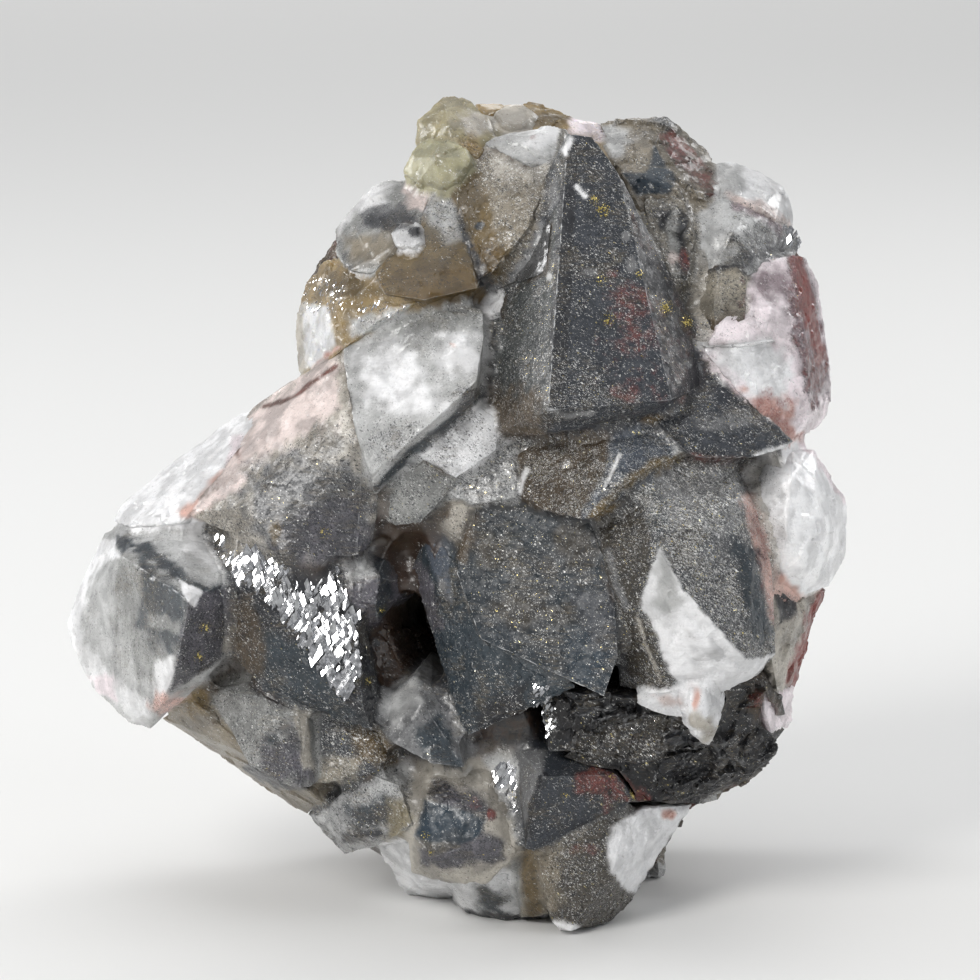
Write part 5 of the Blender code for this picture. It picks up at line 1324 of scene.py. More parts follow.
def facets(tree, place, size):
    """A height like broken cleavage, about -0.2 to 0.2: each cell of a foam leans its own way."""
    foam = foam_of(tree, place, size)
    lean = vector(tree, "SUBTRACT", foam.outputs["Color"], (0.5, 0.5, 0.5))
    apart = vector(tree, "SUBTRACT", place, foam.outputs["Position"])
    return calc(tree, "DIVIDE", dot(tree, lean, apart), size)


def new_tree(name, kind, takes, gives):
    """A node group with named sockets: (name, kind of socket, default)."""
    tree = bpy.data.node_groups.new(name, kind)
    for label, socket, default in takes:
        made = tree.interface.new_socket(label, in_out="INPUT", socket_type=socket)
        if default is not None:
            made.default_value = default
    for label, socket in gives:
        tree.interface.new_socket(label, in_out="OUTPUT", socket_type=socket)
    entry = tree.nodes.new("NodeGroupInput").outputs
    end = tree.nodes.new("NodeGroupOutput").inputs
    return tree, entry, end


def dressed(tree, shape, material):
    """Real instances with their material on: the end of every Geometry Nodes tree."""
    real = add(tree, "GeometryNodeRealizeInstances", shape)
    done = add(tree, "GeometryNodeSetMaterial", real.outputs[0])
    return feed(tree, done, {"Material": material}).outputs[0]


def scaled(tree, place, size):
    """A vector times a number."""
    made = add(tree, "ShaderNodeVectorMath", place, mode="SCALE")
    return feed(tree, made, {"Scale": size}).outputs[0]


NUMBER, PLACE, HUE, SHAPE = "NodeSocketFloat", "NodeSocketVector", "NodeSocketColor", "NodeSocketGeometry"


def weather_tree():
    """Geometry nodes that lump, ledge and chip a finely divided surface, and keep it above the floor."""
    tree, entry, end = new_tree(
        "Weathered faces", "GeometryNodeTree",
        [("Mesh", SHAPE, None), ("Lump height", NUMBER, 0.1), ("Lump size", NUMBER, 3.0),
         ("Step height", NUMBER, 0.1), ("Step spacing", NUMBER, 2.0), ("Chip depth", NUMBER, 0.2),
         ("Step way", PLACE, (1, 0, 0)), ("Seed", NUMBER, 0.0), ("Material", "NodeSocketMaterial", None)],
        [("Mesh", SHAPE)])
    here = add(tree, "GeometryNodeInputPosition").outputs[0]
    place = vector(tree, "ADD", scaled(tree, here, 1 / MM), entry["Seed"])
    # Lumps: clouds, and facets of two sizes
    lump = cloud(tree, place, calc(tree, "DIVIDE", 1.0, entry["Lump size"]), 4.0, 0.55)
    lump = times(tree, minus(tree, lump, 0.5), 0.8)
    lump = plus(tree, lump, times(tree, facets(tree, place, entry["Lump size"]), 3.4))
    lump = plus(tree, lump, facets(tree, place, times(tree, entry["Lump size"], 0.42)))
    lump = times(tree, lump, entry["Lump height"])
    # Ledges: two flights of steps across each other, which fade in places
    drift = times(tree, cloud(tree, place, 0.22), 3.0)
    run = calc(tree, "DIVIDE", dot(tree, place, entry["Step way"]), entry["Step spacing"])
    ledge = calc(tree, "FRACT", plus(tree, run, drift))
    cross = vector(tree, "CROSS_PRODUCT", entry["Step way"], (0.31, -0.87, 0.38))
    run = calc(tree, "DIVIDE", dot(tree, place, cross), times(tree, entry["Step spacing"], 1.7))
    second = calc(tree, "FRACT", plus(tree, run, times(tree, drift, 1.3)))
    ledge = minus(tree, plus(tree, ledge, times(tree, second, 0.7)), 0.85)
    rough = ramp(tree, cloud(tree, place, 0.16), 0.40, 0.56, 0.25, 1.0)
    ledge = times(tree, times(tree, ledge, rough), entry["Step height"])
    # Chips along the sharp edges
    ridge = add(tree, "GeometryNodeInputNamedAttribute", "ridge", data_type="FLOAT").outputs["Attribute"]
    ridge = ramp(tree, ridge, 0.0, 0.7, 1.0, 0.0)
    bite = ramp(tree, cloud(tree, place, 0.75, 3.0), 0.42, 0.68)
    bite = times(tree, times(tree, bite, ridge), entry["Chip depth"])
    height = minus(tree, plus(tree, lump, ledge), bite)
    shift = scaled(tree, add(tree, "GeometryNodeInputNormal").outputs[0], times(tree, height, MM))
    moved = add(tree, "GeometryNodeSetPosition", entry["Mesh"], None, None, shift)
    # Nothing sinks below the floor
    apart = add(tree, "ShaderNodeSeparateXYZ", here).outputs
    level = add(tree, "ShaderNodeCombineXYZ", apart[0], apart[1], calc(tree, "MAXIMUM", apart[2], 0.0))
    stood = add(tree, "GeometryNodeSetPosition", moved.outputs[0], None, level.outputs[0])
    tree.links.new(dressed(tree, stood.outputs[0], entry["Material"]), end[0])
    return tree


def scatter_tree():
    """Geometry nodes that scatter small plates or grains where an attribute of the surface says."""
    tree, entry, end = new_tree(
        "Scattered grains", "GeometryNodeTree",
        [("Mesh", SHAPE, None), ("Where", "NodeSocketString", "glint"), ("Density", NUMBER, 1e6),
         ("Size", PLACE, (0.001, 0.0006, 0.0001)), ("Lean", NUMBER, 0.35), ("Facing", PLACE, (0, -1, 0)),
         ("Spread", NUMBER, 0.08), ("Along", PLACE, (0.4, 0, 1)), ("Turn", NUMBER, 0.3),
         ("Least", NUMBER, 0.35), ("Lift", NUMBER, 0.0), ("Seed", "NodeSocketInt", 1),
         ("Material", "NodeSocketMaterial", None)],
        [("Mesh", SHAPE)])

    def chance(kind, low, high, number):
        """A random value for each point, with a seed of its own."""
        made = add(tree, "FunctionNodeRandomValue", data_type=kind)
        sockets = [socket for socket in made.inputs if socket.enabled]
        put(tree, sockets[0], low)
        put(tree, sockets[1], high)
        put(tree, made.inputs["Seed"], plus(tree, entry["Seed"], float(number)))
        return next(socket for socket in made.outputs if socket.enabled)

    # Points, closer where the attribute is stronger
    where = add(tree, "GeometryNodeInputNamedAttribute", entry["Where"], data_type="FLOAT")
    where = where.outputs["Attribute"]
    rate = times(tree, calc(tree, "POWER", where, 0.3), entry["Density"])
    strewn = feed(tree, add(tree, "GeometryNodeDistributePointsOnFaces"),
                  {"Mesh": entry["Mesh"], "Density": rate, "Seed": entry["Seed"]})
    # One plate with slanting sides
    block = add(tree, "GeometryNodeMeshCube", entry["Size"])
    here = add(tree, "GeometryNodeInputPosition").outputs[0]
    apart = add(tree, "ShaderNodeSeparateXYZ", here).outputs
    slide = add(tree, "ShaderNodeCombineXYZ", times(tree, apart[1], entry["Lean"]), 0.0, 0.0)
    plate = add(tree, "GeometryNodeSetPosition", block.outputs[0], None, None, slide.outputs[0])
    # Plates on one cleavage face nearly the same way
    wide = scaled(tree, (1, 1, 1), entry["Spread"])
    narrow = scaled(tree, (-1, -1, -1), entry["Spread"])
    facing = vector(tree, "ADD", entry["Facing"], chance("FLOAT_VECTOR", narrow, wide, 11))
    back = times(tree, entry["Turn"], -1.0)
    swing = add(tree, "ShaderNodeCombineXYZ", chance("FLOAT", back, entry["Turn"], 23), 0.0,
                chance("FLOAT", back, entry["Turn"], 29))
    along = vector(tree, "ADD", entry["Along"], swing.outputs[0])
    faced = feed(tree, add(tree, "FunctionNodeAlignRotationToVector", axis="Z"), {"Vector": facing})
    turned = feed(tree, add(tree, "FunctionNodeAlignRotationToVector", axis="X", pivot_axis="Z"),
                  {"Rotation": faced.outputs[0], "Vector": along})
    rise = scaled(tree, strewn.outputs["Normal"], entry["Lift"])
    lifted = add(tree, "GeometryNodeSetPosition", strewn.outputs["Points"], None, None, rise)
    size = times(tree, chance("FLOAT", entry["Least"], 1.0, 37), where)
    laid = feed(tree, add(tree, "GeometryNodeInstanceOnPoints"),
                {"Points": lifted.outputs[0], "Instance": plate.outputs[0],
                 "Rotation": turned.outputs[0], "Scale": size})
    tree.links.new(dressed(tree, laid.outputs[0], entry["Material"]), end[0])
    return tree


def nodes_on(obj, tree, values):
    """Puts a Geometry Nodes modifier on the object with its inputs set by their names."""
    change = obj.modifiers.new(tree.name, "NODES")
    change.node_group = tree
    sockets = {item.name: item.identifier for item in tree.interface.items_tree
               if item.item_type == "SOCKET" and item.in_out == "INPUT"}
    for name, value in values.items():
        change[sockets[name]] = value


# Shader groups and materials
WARM_STREAK = (0.150, 0.122, 0.080)
# Colour of the painted highlight along the ridges
EDGE_HIGHLIGHT = (0.48, 0.49, 0.50)

# Grains of the skin: size, share of dark cells, share of pale cells (painted glints), range of their paleness
SPECKS = ((0.22, 0.56, 0.20, 0.85), (0.125, 0.62, 0.40, 0.72))


def speck_group():
    """Grains of one size in a fine foam: dark grains in some cells, pale ones, which are painted glints, in
    others.
    """
    tree, entry, end = new_tree(
        "Specks", "ShaderNodeTree",
        [("Vector", PLACE, None), ("Size", NUMBER, 0.2), ("Dark", NUMBER, 0.3), ("Pale", NUMBER, 0.2)],
        [("Dark", NUMBER), ("Pale", NUMBER), ("Tone", NUMBER)])
    foam = foam_of(tree, entry["Vector"], entry["Size"])
    hue = add(tree, "ShaderNodeSeparateColor", foam.outputs["Color"]).outputs
    wide = plus(tree, 0.30, times(tree, hue[2], 0.36))
    near = ramp(tree, minus(tree, wide, foam.outputs["Distance"]), -0.08, 0.08)
    dark = ramp(tree, minus(tree, entry["Dark"], hue[0]), -0.02, 0.04)
    pale = ramp(tree, minus(tree, plus(tree, entry["Pale"], hue[0]), 1.0), -0.02, 0.04)
    tree.links.new(times(tree, dark, near), end["Dark"])
    tree.links.new(times(tree, pale, near), end["Pale"])
    tree.links.new(hue[1], end["Tone"])
    return tree


def skin_group(specks, colours):
    """The dusted skin of the mineral: tint, milky clouds, dust, grains with painted glints, stain, brass,
    painted ridge highlights and painted seam shade.
    """
    tree, entry, end = new_tree(
        "Dusted skin", "ShaderNodeTree",
        [("Tint", HUE, (0.5, 0.5, 0.5, 1)), ("Dark", NUMBER, 0.2), ("Spark", NUMBER, 0.2),
         ("Stain", NUMBER, 0.0), ("Brass", NUMBER, 0.0), ("Ridge", NUMBER, 3.0), ("Edge", NUMBER, 0.3),
         ("Seam", NUMBER, 3.0), ("Grain", NUMBER, 1.0), ("Streak", NUMBER, 0.2), ("Milk", NUMBER, 0.3),
         ("Facet", NUMBER, 0.3), ("Rough", NUMBER, 0.35)],
        [("Color", HUE), ("Roughness", NUMBER), ("Metallic", NUMBER), ("Height", NUMBER)])
    place = scaled(tree, add(tree, "ShaderNodeTexCoord").outputs["Object"], 1 / MM)

    def swing(value, gain):
        """Noise turned to swing about nought."""
        return times(tree, minus(tree, value, 0.5), gain)

    # Clouds of three sizes, streaks along the growth and milky patches
    broad = cloud(tree, place, 0.20, 2.0, 0.6)
    middle = cloud(tree, place, 0.85, 2.0, 0.62)
    fine = cloud(tree, place, 3.4, 2.0, 0.65)
    shake = add(tree, "ShaderNodeCombineXYZ", swing(fine, 0.9), swing(middle, 0.9), swing(fine, -0.8))
    ragged = vector(tree, "ADD", place, shake.outputs[0])
    drawn = add(tree, "ShaderNodeMapping", place, None, (0.0, 0.55, 0.4), (0.35, 1.0, 2.6)).outputs[0]
    streak = cloud(tree, drawn, 1.3, 2.0, 0.6)
    milk = ramp(tree, cloud(tree, ragged, 0.26, 2.0, 0.62), 0.38, 0.60)
    # Dust and glitter lie in patches
    patch = plus(tree, times(tree, middle, 0.55), times(tree, broad, 0.45))
    dust = times(tree, entry["Dark"], ramp(tree, patch, 0.38, 0.62, 0.35, 1.55), clamp=True)
    glitter = times(tree, entry["Spark"], ramp(tree, patch, 0.40, 0.60, 0.5, 1.4))
    # The tint, lighter and darker with the clouds, and sandy where it is dusted
    sandy = ramp(tree, dust, 0.0, 0.5, 0.12, 1.0)
    shade = plus(tree, 1.0, times(tree, swing(fine, 2.3), sandy))
    shade = plus(tree, shade, times(tree, swing(middle, 1.2), sandy))
    shade = plus(tree, shade, times(tree, swing(streak, 2.0), entry["Streak"]))
    cloudy = plus(tree, minus(tree, 1.0, entry["Milk"]), times(tree, times(tree, milk, entry["Milk"]), 1.3))
    hue = scaled(tree, entry["Tint"], times(tree, shade, cloudy))
    hue = blend(tree, times(tree, calc(tree, "POWER", dust, 1.3), 0.6), hue, colours.dust)
    warm = plus(tree, times(tree, streak, 0.5), times(tree, broad, 0.5))
    warm = times(tree, ramp(tree, warm, 0.50, 0.64, 0.0, 0.42), sandy)
    hue = blend(tree, warm, hue, WARM_STREAK)
    # Grains: dark ones, pale ones that are painted glints, and a few brassy ones
    lit_ones = brassy = 0.0
    depth = ramp(tree, entry["Dark"], 0.05, 0.40, 0.50, 0.90)
    for size, dark_share, pale_share, strength in SPECKS:
        made = feed(tree, add(tree, "ShaderNodeGroup", node_tree=specks),
                    {"Vector": ragged, "Size": times(tree, entry["Grain"], size),
                     "Dark": times(tree, dust, dark_share), "Pale": times(tree, glitter, pale_share)})
        dark, pale, tone = made.outputs
        hue = blend(tree, times(tree, dark, depth), hue, colours.speck)
        light = plus(tree, 0.26, times(tree, tone, strength), clamp=True)
        hue = blend(tree, times(tree, pale, light), hue, colours.bright)
        gold = plus(tree, tone, times(tree, entry["Brass"], 0.6))
        gold = times(tree, pale, ramp(tree, gold, 0.940, 0.975))
        gold = times(tree, gold, ramp(tree, entry["Dark"], 0.25, 0.45))
        hue = blend(tree, gold, hue, colours.brass)
        lit_ones = plus(tree, lit_ones, pale)
        brassy = calc(tree, "MAXIMUM", brassy, gold)
    # Red stain, painted highlights along the ridges, and painted shade with brown seam colour where crystals
    # meet
    red = plus(tree, entry["Stain"], plus(tree, swing(middle, 1.6), swing(broad, 1.6)))
    red = times(tree, ramp(tree, red, 0.15, 1.0), ramp(tree, entry["Stain"], 0.0, 0.5, 0, 0.95))
    red = times(tree, red, plus(tree, 0.55, swing(fine, 1.6)))
    hue = blend(tree, red, hue, colours.stain)
    # Painted highlight along the ridges
    edge_highlight = times(tree, ramp(tree, entry["Ridge"], 0.0, 0.17, 1.0, 0.0), entry["Edge"])
    edge_highlight = times(tree, edge_highlight, ramp(tree, middle, 0.40, 0.58, 0.1, 1.1), clamp=True)
    hue = blend(tree, edge_highlight, hue, EDGE_HIGHLIGHT)
    # Painted shade and brown seam colour near where crystals meet
    seam_tint_and_shade = times(tree, ramp(tree, entry["Seam"], 0.0, 0.9, 0.7, 0.0),
                 ramp(tree, middle, 0.38, 0.62, 0.15, 1.0))
    hue = blend(tree, seam_tint_and_shade, hue, colours.seam_colour_and_shade)
    # Roughness, and the relief of small facets
    rough = plus(tree, entry["Rough"], plus(tree, swing(fine, 0.35), swing(middle, 0.25)))
    rough = minus(tree, rough, times(tree, lit_ones, 0.2))
    rough = calc(tree, "MAXIMUM", calc(tree, "MINIMUM", rough, 1.0), 0.07)
    lean = facets(tree, place, times(tree, entry["Grain"], 1.1))
    height = times(tree, plus(tree, lean, swing(middle, 0.50)), entry["Facet"])
    height = times(tree, height, ramp(tree, entry["Dark"], 0.02, 0.35, 0.35, 1.0))
    for value, name in ((hue, "Color"), (rough, "Roughness"), (brassy, "Metallic"), (height, "Height")):
        tree.links.new(value, end[name])
    return tree


# Finish: subsurface share, tint and reach, transmission, coat, relief, and the five values of the skin
FINISH = {
    "dark": (0.0, (1.0, 0.9, 0.85), 0.0006, 0.0, 0.0, 0.8, 0.85, 0.06, 0.20, 0.24, 0.43),
    "grey": (0.0, (1.0, 0.88, 0.75), 0.0010, 0.0, 0.10, 0.8, 1.0, 0.18, 0.35, 0.30, 0.36),
    "white": (0.45, (1.0, 0.95, 0.92), 0.0024, 0.0, 0.16, 0.8, 1.0, 0.14, 0.26, 0.13, 0.36),
    "honey": (0.35, (1.0, 0.78, 0.45), 0.0024, 0.0, 0.14, 0.8, 1.0, 0.16, 0.30, 0.15, 0.38),
    "clear": (0.15, (1.0, 0.97, 0.92), 0.0020, 0.45, 0.5, 0.7, 1.0, 0.2, 0.4, 0.2, 0.14),
    "rock": (0.0, (1.0, 0.6, 0.5), 0.0005, 0.0, 0.0, 1.0, 1.2, 0.3, 0.2, 0.5, 0.40),
}
CALCITE_IOR = 1.6
SHEEN_OF_DARK = 0.32
# How much less painted seam shade and brown seam colour each finish takes, in millimetres
LESS_SEAM_TINT_AND_SHADE = {"dark": 0.0, "grey": 0.15, "white": 0.45, "honey": 0.35, "clear": 0.6, "rock": 0.0}
COAT_ROUGHNESS = 0.12
COAT_IOR = 1.5
COATS = ("Tint", "Dark", "Spark", "Stain", "Brass", "Ridge", "Edge", "Seam")
SKIN_VALUES = ("Grain", "Streak", "Milk", "Facet", "Rough")


def new_material(name):
    """A material with its tree and its shader."""
    made = bpy.data.materials.new(name)
    made.use_nodes = True
    return made, made.node_tree, made.node_tree.nodes["Principled BSDF"]


def skin_material(name, skin):
    """A material whose skin reads the painted attributes."""
    weight, radius, scale, clear, coat, relief_share, *values = FINISH[name]
    made, tree, shader = new_material(f"{name}_finish")
    group = feed(tree, add(tree, "ShaderNodeGroup", node_tree=skin), dict(zip(SKIN_VALUES, values)))
    for coat_name in COATS:
        read = add(tree, "ShaderNodeAttribute", attribute_name=coat_name.lower())
        put(tree, group.inputs[coat_name], read.outputs["Color" if coat_name == "Tint" else "Fac"])
    relief = feed(tree, add(tree, "ShaderNodeBump"),
                  {"Strength": relief_share, "Distance": MM, "Height": group.outputs["Height"]})
    feed(tree, shader, {
        "Base Color": group.outputs["Color"], "Roughness": group.outputs["Roughness"],
        "Normal": relief.outputs["Normal"], "IOR": CALCITE_IOR, "Subsurface Weight": weight,
        "Subsurface Radius": radius, "Subsurface Scale": scale, "Transmission Weight": clear,
        "Coat Weight": coat, "Coat Roughness": COAT_ROUGHNESS, "Coat IOR": COAT_IOR})
    if not clear:
        feed(tree, shader, {"Metallic": group.outputs["Metallic"]})
    if name in ("dark", "rock"):
        feed(tree, shader, {"Specular IOR Level": SHEEN_OF_DARK})
    return made


def metal_material(name, hue, rough, metallic):
    """Bright flakes and brass grains, each a little different by its place."""
    made, tree, shader = new_material(name)
    place = scaled(tree, add(tree, "ShaderNodeTexCoord").outputs["Object"], 1 / MM)
    patch = cloud(tree, place, 1.6, 3.0, 0.6)
    low = tuple(0.62 * part for part in hue)
    feed(tree, shader, {"Base Color": blend(tree, ramp(tree, patch, 0.35, 0.65), low, hue),
                        "Roughness": ramp(tree, patch, 0.3, 0.7, rough * 0.7, rough * 1.5),
                        "Metallic": metallic})
    return made


TREES = {}
MATERIALS = {}


def prepare():
    """Builds the shared trees and materials once."""
    if TREES:
        return
    colours = bpy.context.scene.specimen_colours
    TREES["weather"] = weather_tree()
    TREES["scatter"] = scatter_tree()
    skin = skin_group(speck_group(), colours)
    for name in FINISH:
        MATERIALS[name] = skin_material(name, skin)
    MATERIALS["flake"] = metal_material("flake_finish", (0.90, 0.91, 0.93), 0.12, 0.9)
    MATERIALS["brass"] = metal_material("brass_finish", tuple(colours.brass), 0.28, 1.0)


def seed_of(name):
    """A fixed number for a name, so that each piece weathers in its own way."""
    return sum((place + 1) * ord(letter) for place, letter in enumerate(name)) % SEEDS * SEED_STEP


def weathered(name, points, faces, coats, kind, finish):
    """An object with its paint kept and its faces weathered, as a plain mesh."""
    lump, size, step, spacing, chip, _ = WEATHER[kind]
    obj = new_object(name, plain_mesh(name, points, faces))
    keep_coats(obj.data, coats)
    turn = seed_of(name)
    way = Vector((math.cos(turn), 0.4 * math.sin(2 * turn), math.sin(turn))).normalized()
    nodes_on(obj, TREES["weather"],
             {"Lump height": lump, "Lump size": size, "Step height": step, "Step spacing": spacing,
              "Chip depth": chip, "Step way": way, "Seed": turn, "Material": MATERIALS[finish]})
    return applied(obj)


def finished(obj):
    """Keeps the edges of the facets crisp and the rest smooth."""
    obj.data.shade_smooth()
    obj.data.set_sharp_from_angle(angle=math.radians(CRISP))
    return obj


GROWN = {}


def build_crystal(name):
    """One crystal: divided, rounded at its edges, painted and weathered."""
    finish, _, _, _, kind = LOOKS[name]
    solid = SOLIDS[name]
    points, faces = refined(solid)
    reach = distance_to_ridges(points, solid.ridges)
    passes = WEATHER[kind][5]
    points = rounded(points, faces, np.exp(-(reach / (ROUND_REACH + ROUND_MORE * passes)) ** 2), passes)
    away = nearest(points, neighbours(solid, name))
    coats = painted(name, points, (away > PAINTED_DEPTH) & in_view(points))
    coats["ridge"] = np.clip(reach, 0, KEPT_REACH)
    # The distance to a neighbour sets the painted shade and brown seam colour where crystals meet
    coats["seam"] = np.clip(away + LESS_SEAM_TINT_AND_SHADE[finish], 0, KEPT_REACH)
    lent = away > LENT_DEPTH
    GROWN[name] = points[lent], {coat: values[lent] for coat, values in coats.items()}
    obj = finished(weathered(name, points, faces, coats, kind, finish))
    carry(obj, "calcite_cluster")


def build_finish(finish):
    """All crystals of one finish."""
    prepare()
    for name in CRYSTALS:
        if LOOKS[name][0] == finish:
            build_crystal(name)


def grown_over():
    """The cluster swelled and drawn in again, which fills its narrow seams, in millimetres."""
    obj = new_object("grown_over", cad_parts["calcite_cluster"].data.copy())
    shape = bmesh.new()
    shape.from_mesh(obj.data)
    bmesh.ops.remove_doubles(shape, verts=shape.verts, dist=WELD)
    shape.to_mesh(obj.data)
    shape.free()
    for number, swell in enumerate((SEAM_FILL, -SEAM_FILL - SEAM_SUNK)):
        change = obj.modifiers.new(f"even_{number}", "REMESH")
        change.mode = "VOXEL"
        change.voxel_size = FILL_GRAIN
        change = obj.modifiers.new(f"swell_{number}", "DISPLACE")
        change.mid_level = 0
        change.strength = swell
    change = obj.modifiers.new("soft", "SMOOTH")
    change.iterations = FILL_PASSES
    obj.modifiers.new("thirds", "TRIANGULATE")
    applied(obj)
    points = np.array([vert.co[:] for vert in obj.data.vertices]) / MM
    faces = np.array([face.vertices[:] for face in obj.data.polygons])
    bpy.data.objects.remove(obj, do_unlink=True)
    return points, faces


def build_body():
    """The calcite that joins the crystals: it takes its colours from the crystals on either side."""
    prepare()
    points, faces = grown_over()
    spots = np.concatenate([lent for lent, _ in GROWN.values()])
    known = {coat: np.concatenate([coats[coat] for _, coats in GROWN.values()])
             for coat in next(iter(GROWN.values()))[1]}
    tree = spot_tree(spots)
    found = [tree.find_n(point, LENDERS) for point in points]
    index = np.array([[hit[1] for hit in hits] for hits in found])
    reach = np.array([[hit[2] for hit in hits] for hits in found])
    share = 1 / (reach + LENT_BLUR)
    share /= share.sum(axis=1, keepdims=True)
    coats = {}
    for coat, values in known.items():
        picked = values[index]
        coats[coat] = (picked * (share[:, :, None] if picked.ndim == 3 else share)).sum(axis=1)
    # Deeper in the seams the body turns dark brown, as brown seam colour and painted shade of the recess, and
    # its painted glints fade
    deep = np.clip((reach[:, 0] - SEAM_STARTS) / SEAM_WIDENS, 0, 1)
    coats["tint"] += SEAM_BROWN_AND_SHADE * deep[:, None] * (np.array(PALETTE["dark_brown"]) - coats["tint"])
    coats["spark"] *= 1 - deep
    coats["glint"] *= 0
    coats["brass"] *= 0
    across, up, _ = front_view(points)
    wobble = field(points, WOBBLE_SIZE, WOBBLE_SEED)
    for kind, shape, blur, changes in PAINT["body"]:
        lay(coats, cover(kind, shape, blur, across, up, wobble) * np.maximum(deep, SEAM_PAINTED), changes)
    coats["ridge"] = np.full(len(points), KEPT_REACH)
    # Painted seam shade and brown seam colour grow deeper in the seams
    coats["seam"] = SEAM_FREE_OF_TINT_AND_SHADE * (1 - deep)
    obj = weathered("grown_body", points, faces, coats, "soft", "grey")
    obj.data.shade_smooth()
    carry(obj, "calcite_cluster")


def build_rock():
    """The rock, divided, painted and weathered like a crystal."""
    prepare()
    shape = bmesh.new()
    shape.from_mesh(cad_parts["host_rock"].data)
    bmesh.ops.remove_doubles(shape, verts=shape.verts, dist=WELD)
    bmesh.ops.scale(shape, vec=(1 / MM,) * 3, verts=shape.verts)
    bmesh.ops.dissolve_limit(shape, angle_limit=math.radians(FLAT_ROCK), verts=shape.verts, edges=shape.edges)
    bmesh.ops.recalc_face_normals(shape, faces=shape.faces)
    solid = Solid(shape, convex=False)

    def wanted(middle):
        return np.where(near_skin(middle, CLUSTER, ROCK_NEAR), ROCK_BURIED,
                        np.where(in_view(middle), ROCK_FRONT, ROCK_BACK))

    points, faces = refine(solid.points, solid.faces, wanted, ROCK_FRONT, ROCK_BURIED)
    reach = distance_to_ridges(points, solid.ridges)
    away = skin_distance(points, CLUSTER, KEPT_REACH)
    coats = rock_coats(points)
    coats["ridge"] = np.clip(reach, 0, KEPT_REACH)
    coats["seam"] = np.clip(away, 0, KEPT_REACH)
    free = np.clip((away - ROCK_HELD) / ROCK_FREED, 0, 1)
    points = rounded(points, faces, np.exp(-(reach / ROCK_ROUND) ** 2) * free, WEATHER["rock"][5])
    obj = finished(weathered("host_rock_face", points, faces, coats, "rock", "rock"))
    carry(obj, "host_rock")


def rock_coats(points):
    """Paint of the rock: black hematite in front, broken red and grey rock with pale crystals behind."""
    across, up, out = front_view(points)
    broad, middle, small = (field(points, size, seed) for size, seed in ROCK_NOISE)
    coats = {"tint": np.tile(PALETTE["brown"], (len(points), 1)), "dark": 0.5 + 0.25 * broad,
             "edge": np.full(len(points), 0.22), "spark": np.clip(0.22 + 0.3 * middle, 0.04, 0.6),
             "stain": np.clip(0.42 + 0.5 * broad, 0, 0.8), "glint": np.zeros(len(points))}

    def over(share, **changes):
        lay(coats, np.clip(share, 0, 1), changes)

    over((middle - 0.12) * 6, tint="beige", dark=0.34, stain=0.22)
    over((broad - 0.16) * 7, tint="grey", dark=0.55, stain=0.1)
    over((0.8 * small + 1.3 * middle + 0.3 * broad - 0.66) * 14, tint="pale", dark=0.12, stain=0.1)
    front = np.clip((out + 4) / 3, 0, 1) * np.clip((34 - up) / 3, 0, 1)
    over(front, tint="black", dark=0.50, stain=0.04, spark=0.16)
    for kind, shape, reach, changes in PAINT["rock"]:
        over(front * cover(kind, shape, reach, across, up, small), **changes)
    coats["brass"] = brass_nests(across, up) * front
    coats["dark"] = np.clip(coats["dark"], 0, 1)
    return coats


def build_grains(name, source_names, values, material):
    """Scatters flakes or grains over finished crystals and keeps them as one plain mesh."""
    prepare()
    made = []
    for source in source_names:
        obj = new_object(f"{name}_{source}", bpy.data.objects[source].data.copy())
        obj.data.materials.clear()
        nodes_on(obj, TREES["scatter"], {**values, "Material": MATERIALS[material]})
        applied(obj)
        if len(obj.data.polygons):
            made.append(obj)
        else:
            bpy.data.objects.remove(obj, do_unlink=True)
    mesh = joined([obj.data for obj in made])
    for obj in made:
        bpy.data.objects.remove(obj, do_unlink=True)
    mesh.materials.append(MATERIALS[material])
    mesh.name = name
    obj = new_object(name, mesh)
    carry(obj, "calcite_cluster")


def joined(meshes):
    """One mesh with the faces of several."""
    shape = bmesh.new()
    for mesh in meshes:
        shape.from_mesh(mesh)
    whole = bpy.data.meshes.new("whole")
    for coats in (shape.verts.layers.float, shape.verts.layers.float_color):
        while len(coats):
            coats.remove(coats[0])
    shape.to_mesh(whole)
    shape.free()
    return whole


def glint_names():
    """The crystals that carry flakes."""
    return [name for name in CRYSTALS if any("glint" in row[3] for row in PAINT.get(name, ()))]


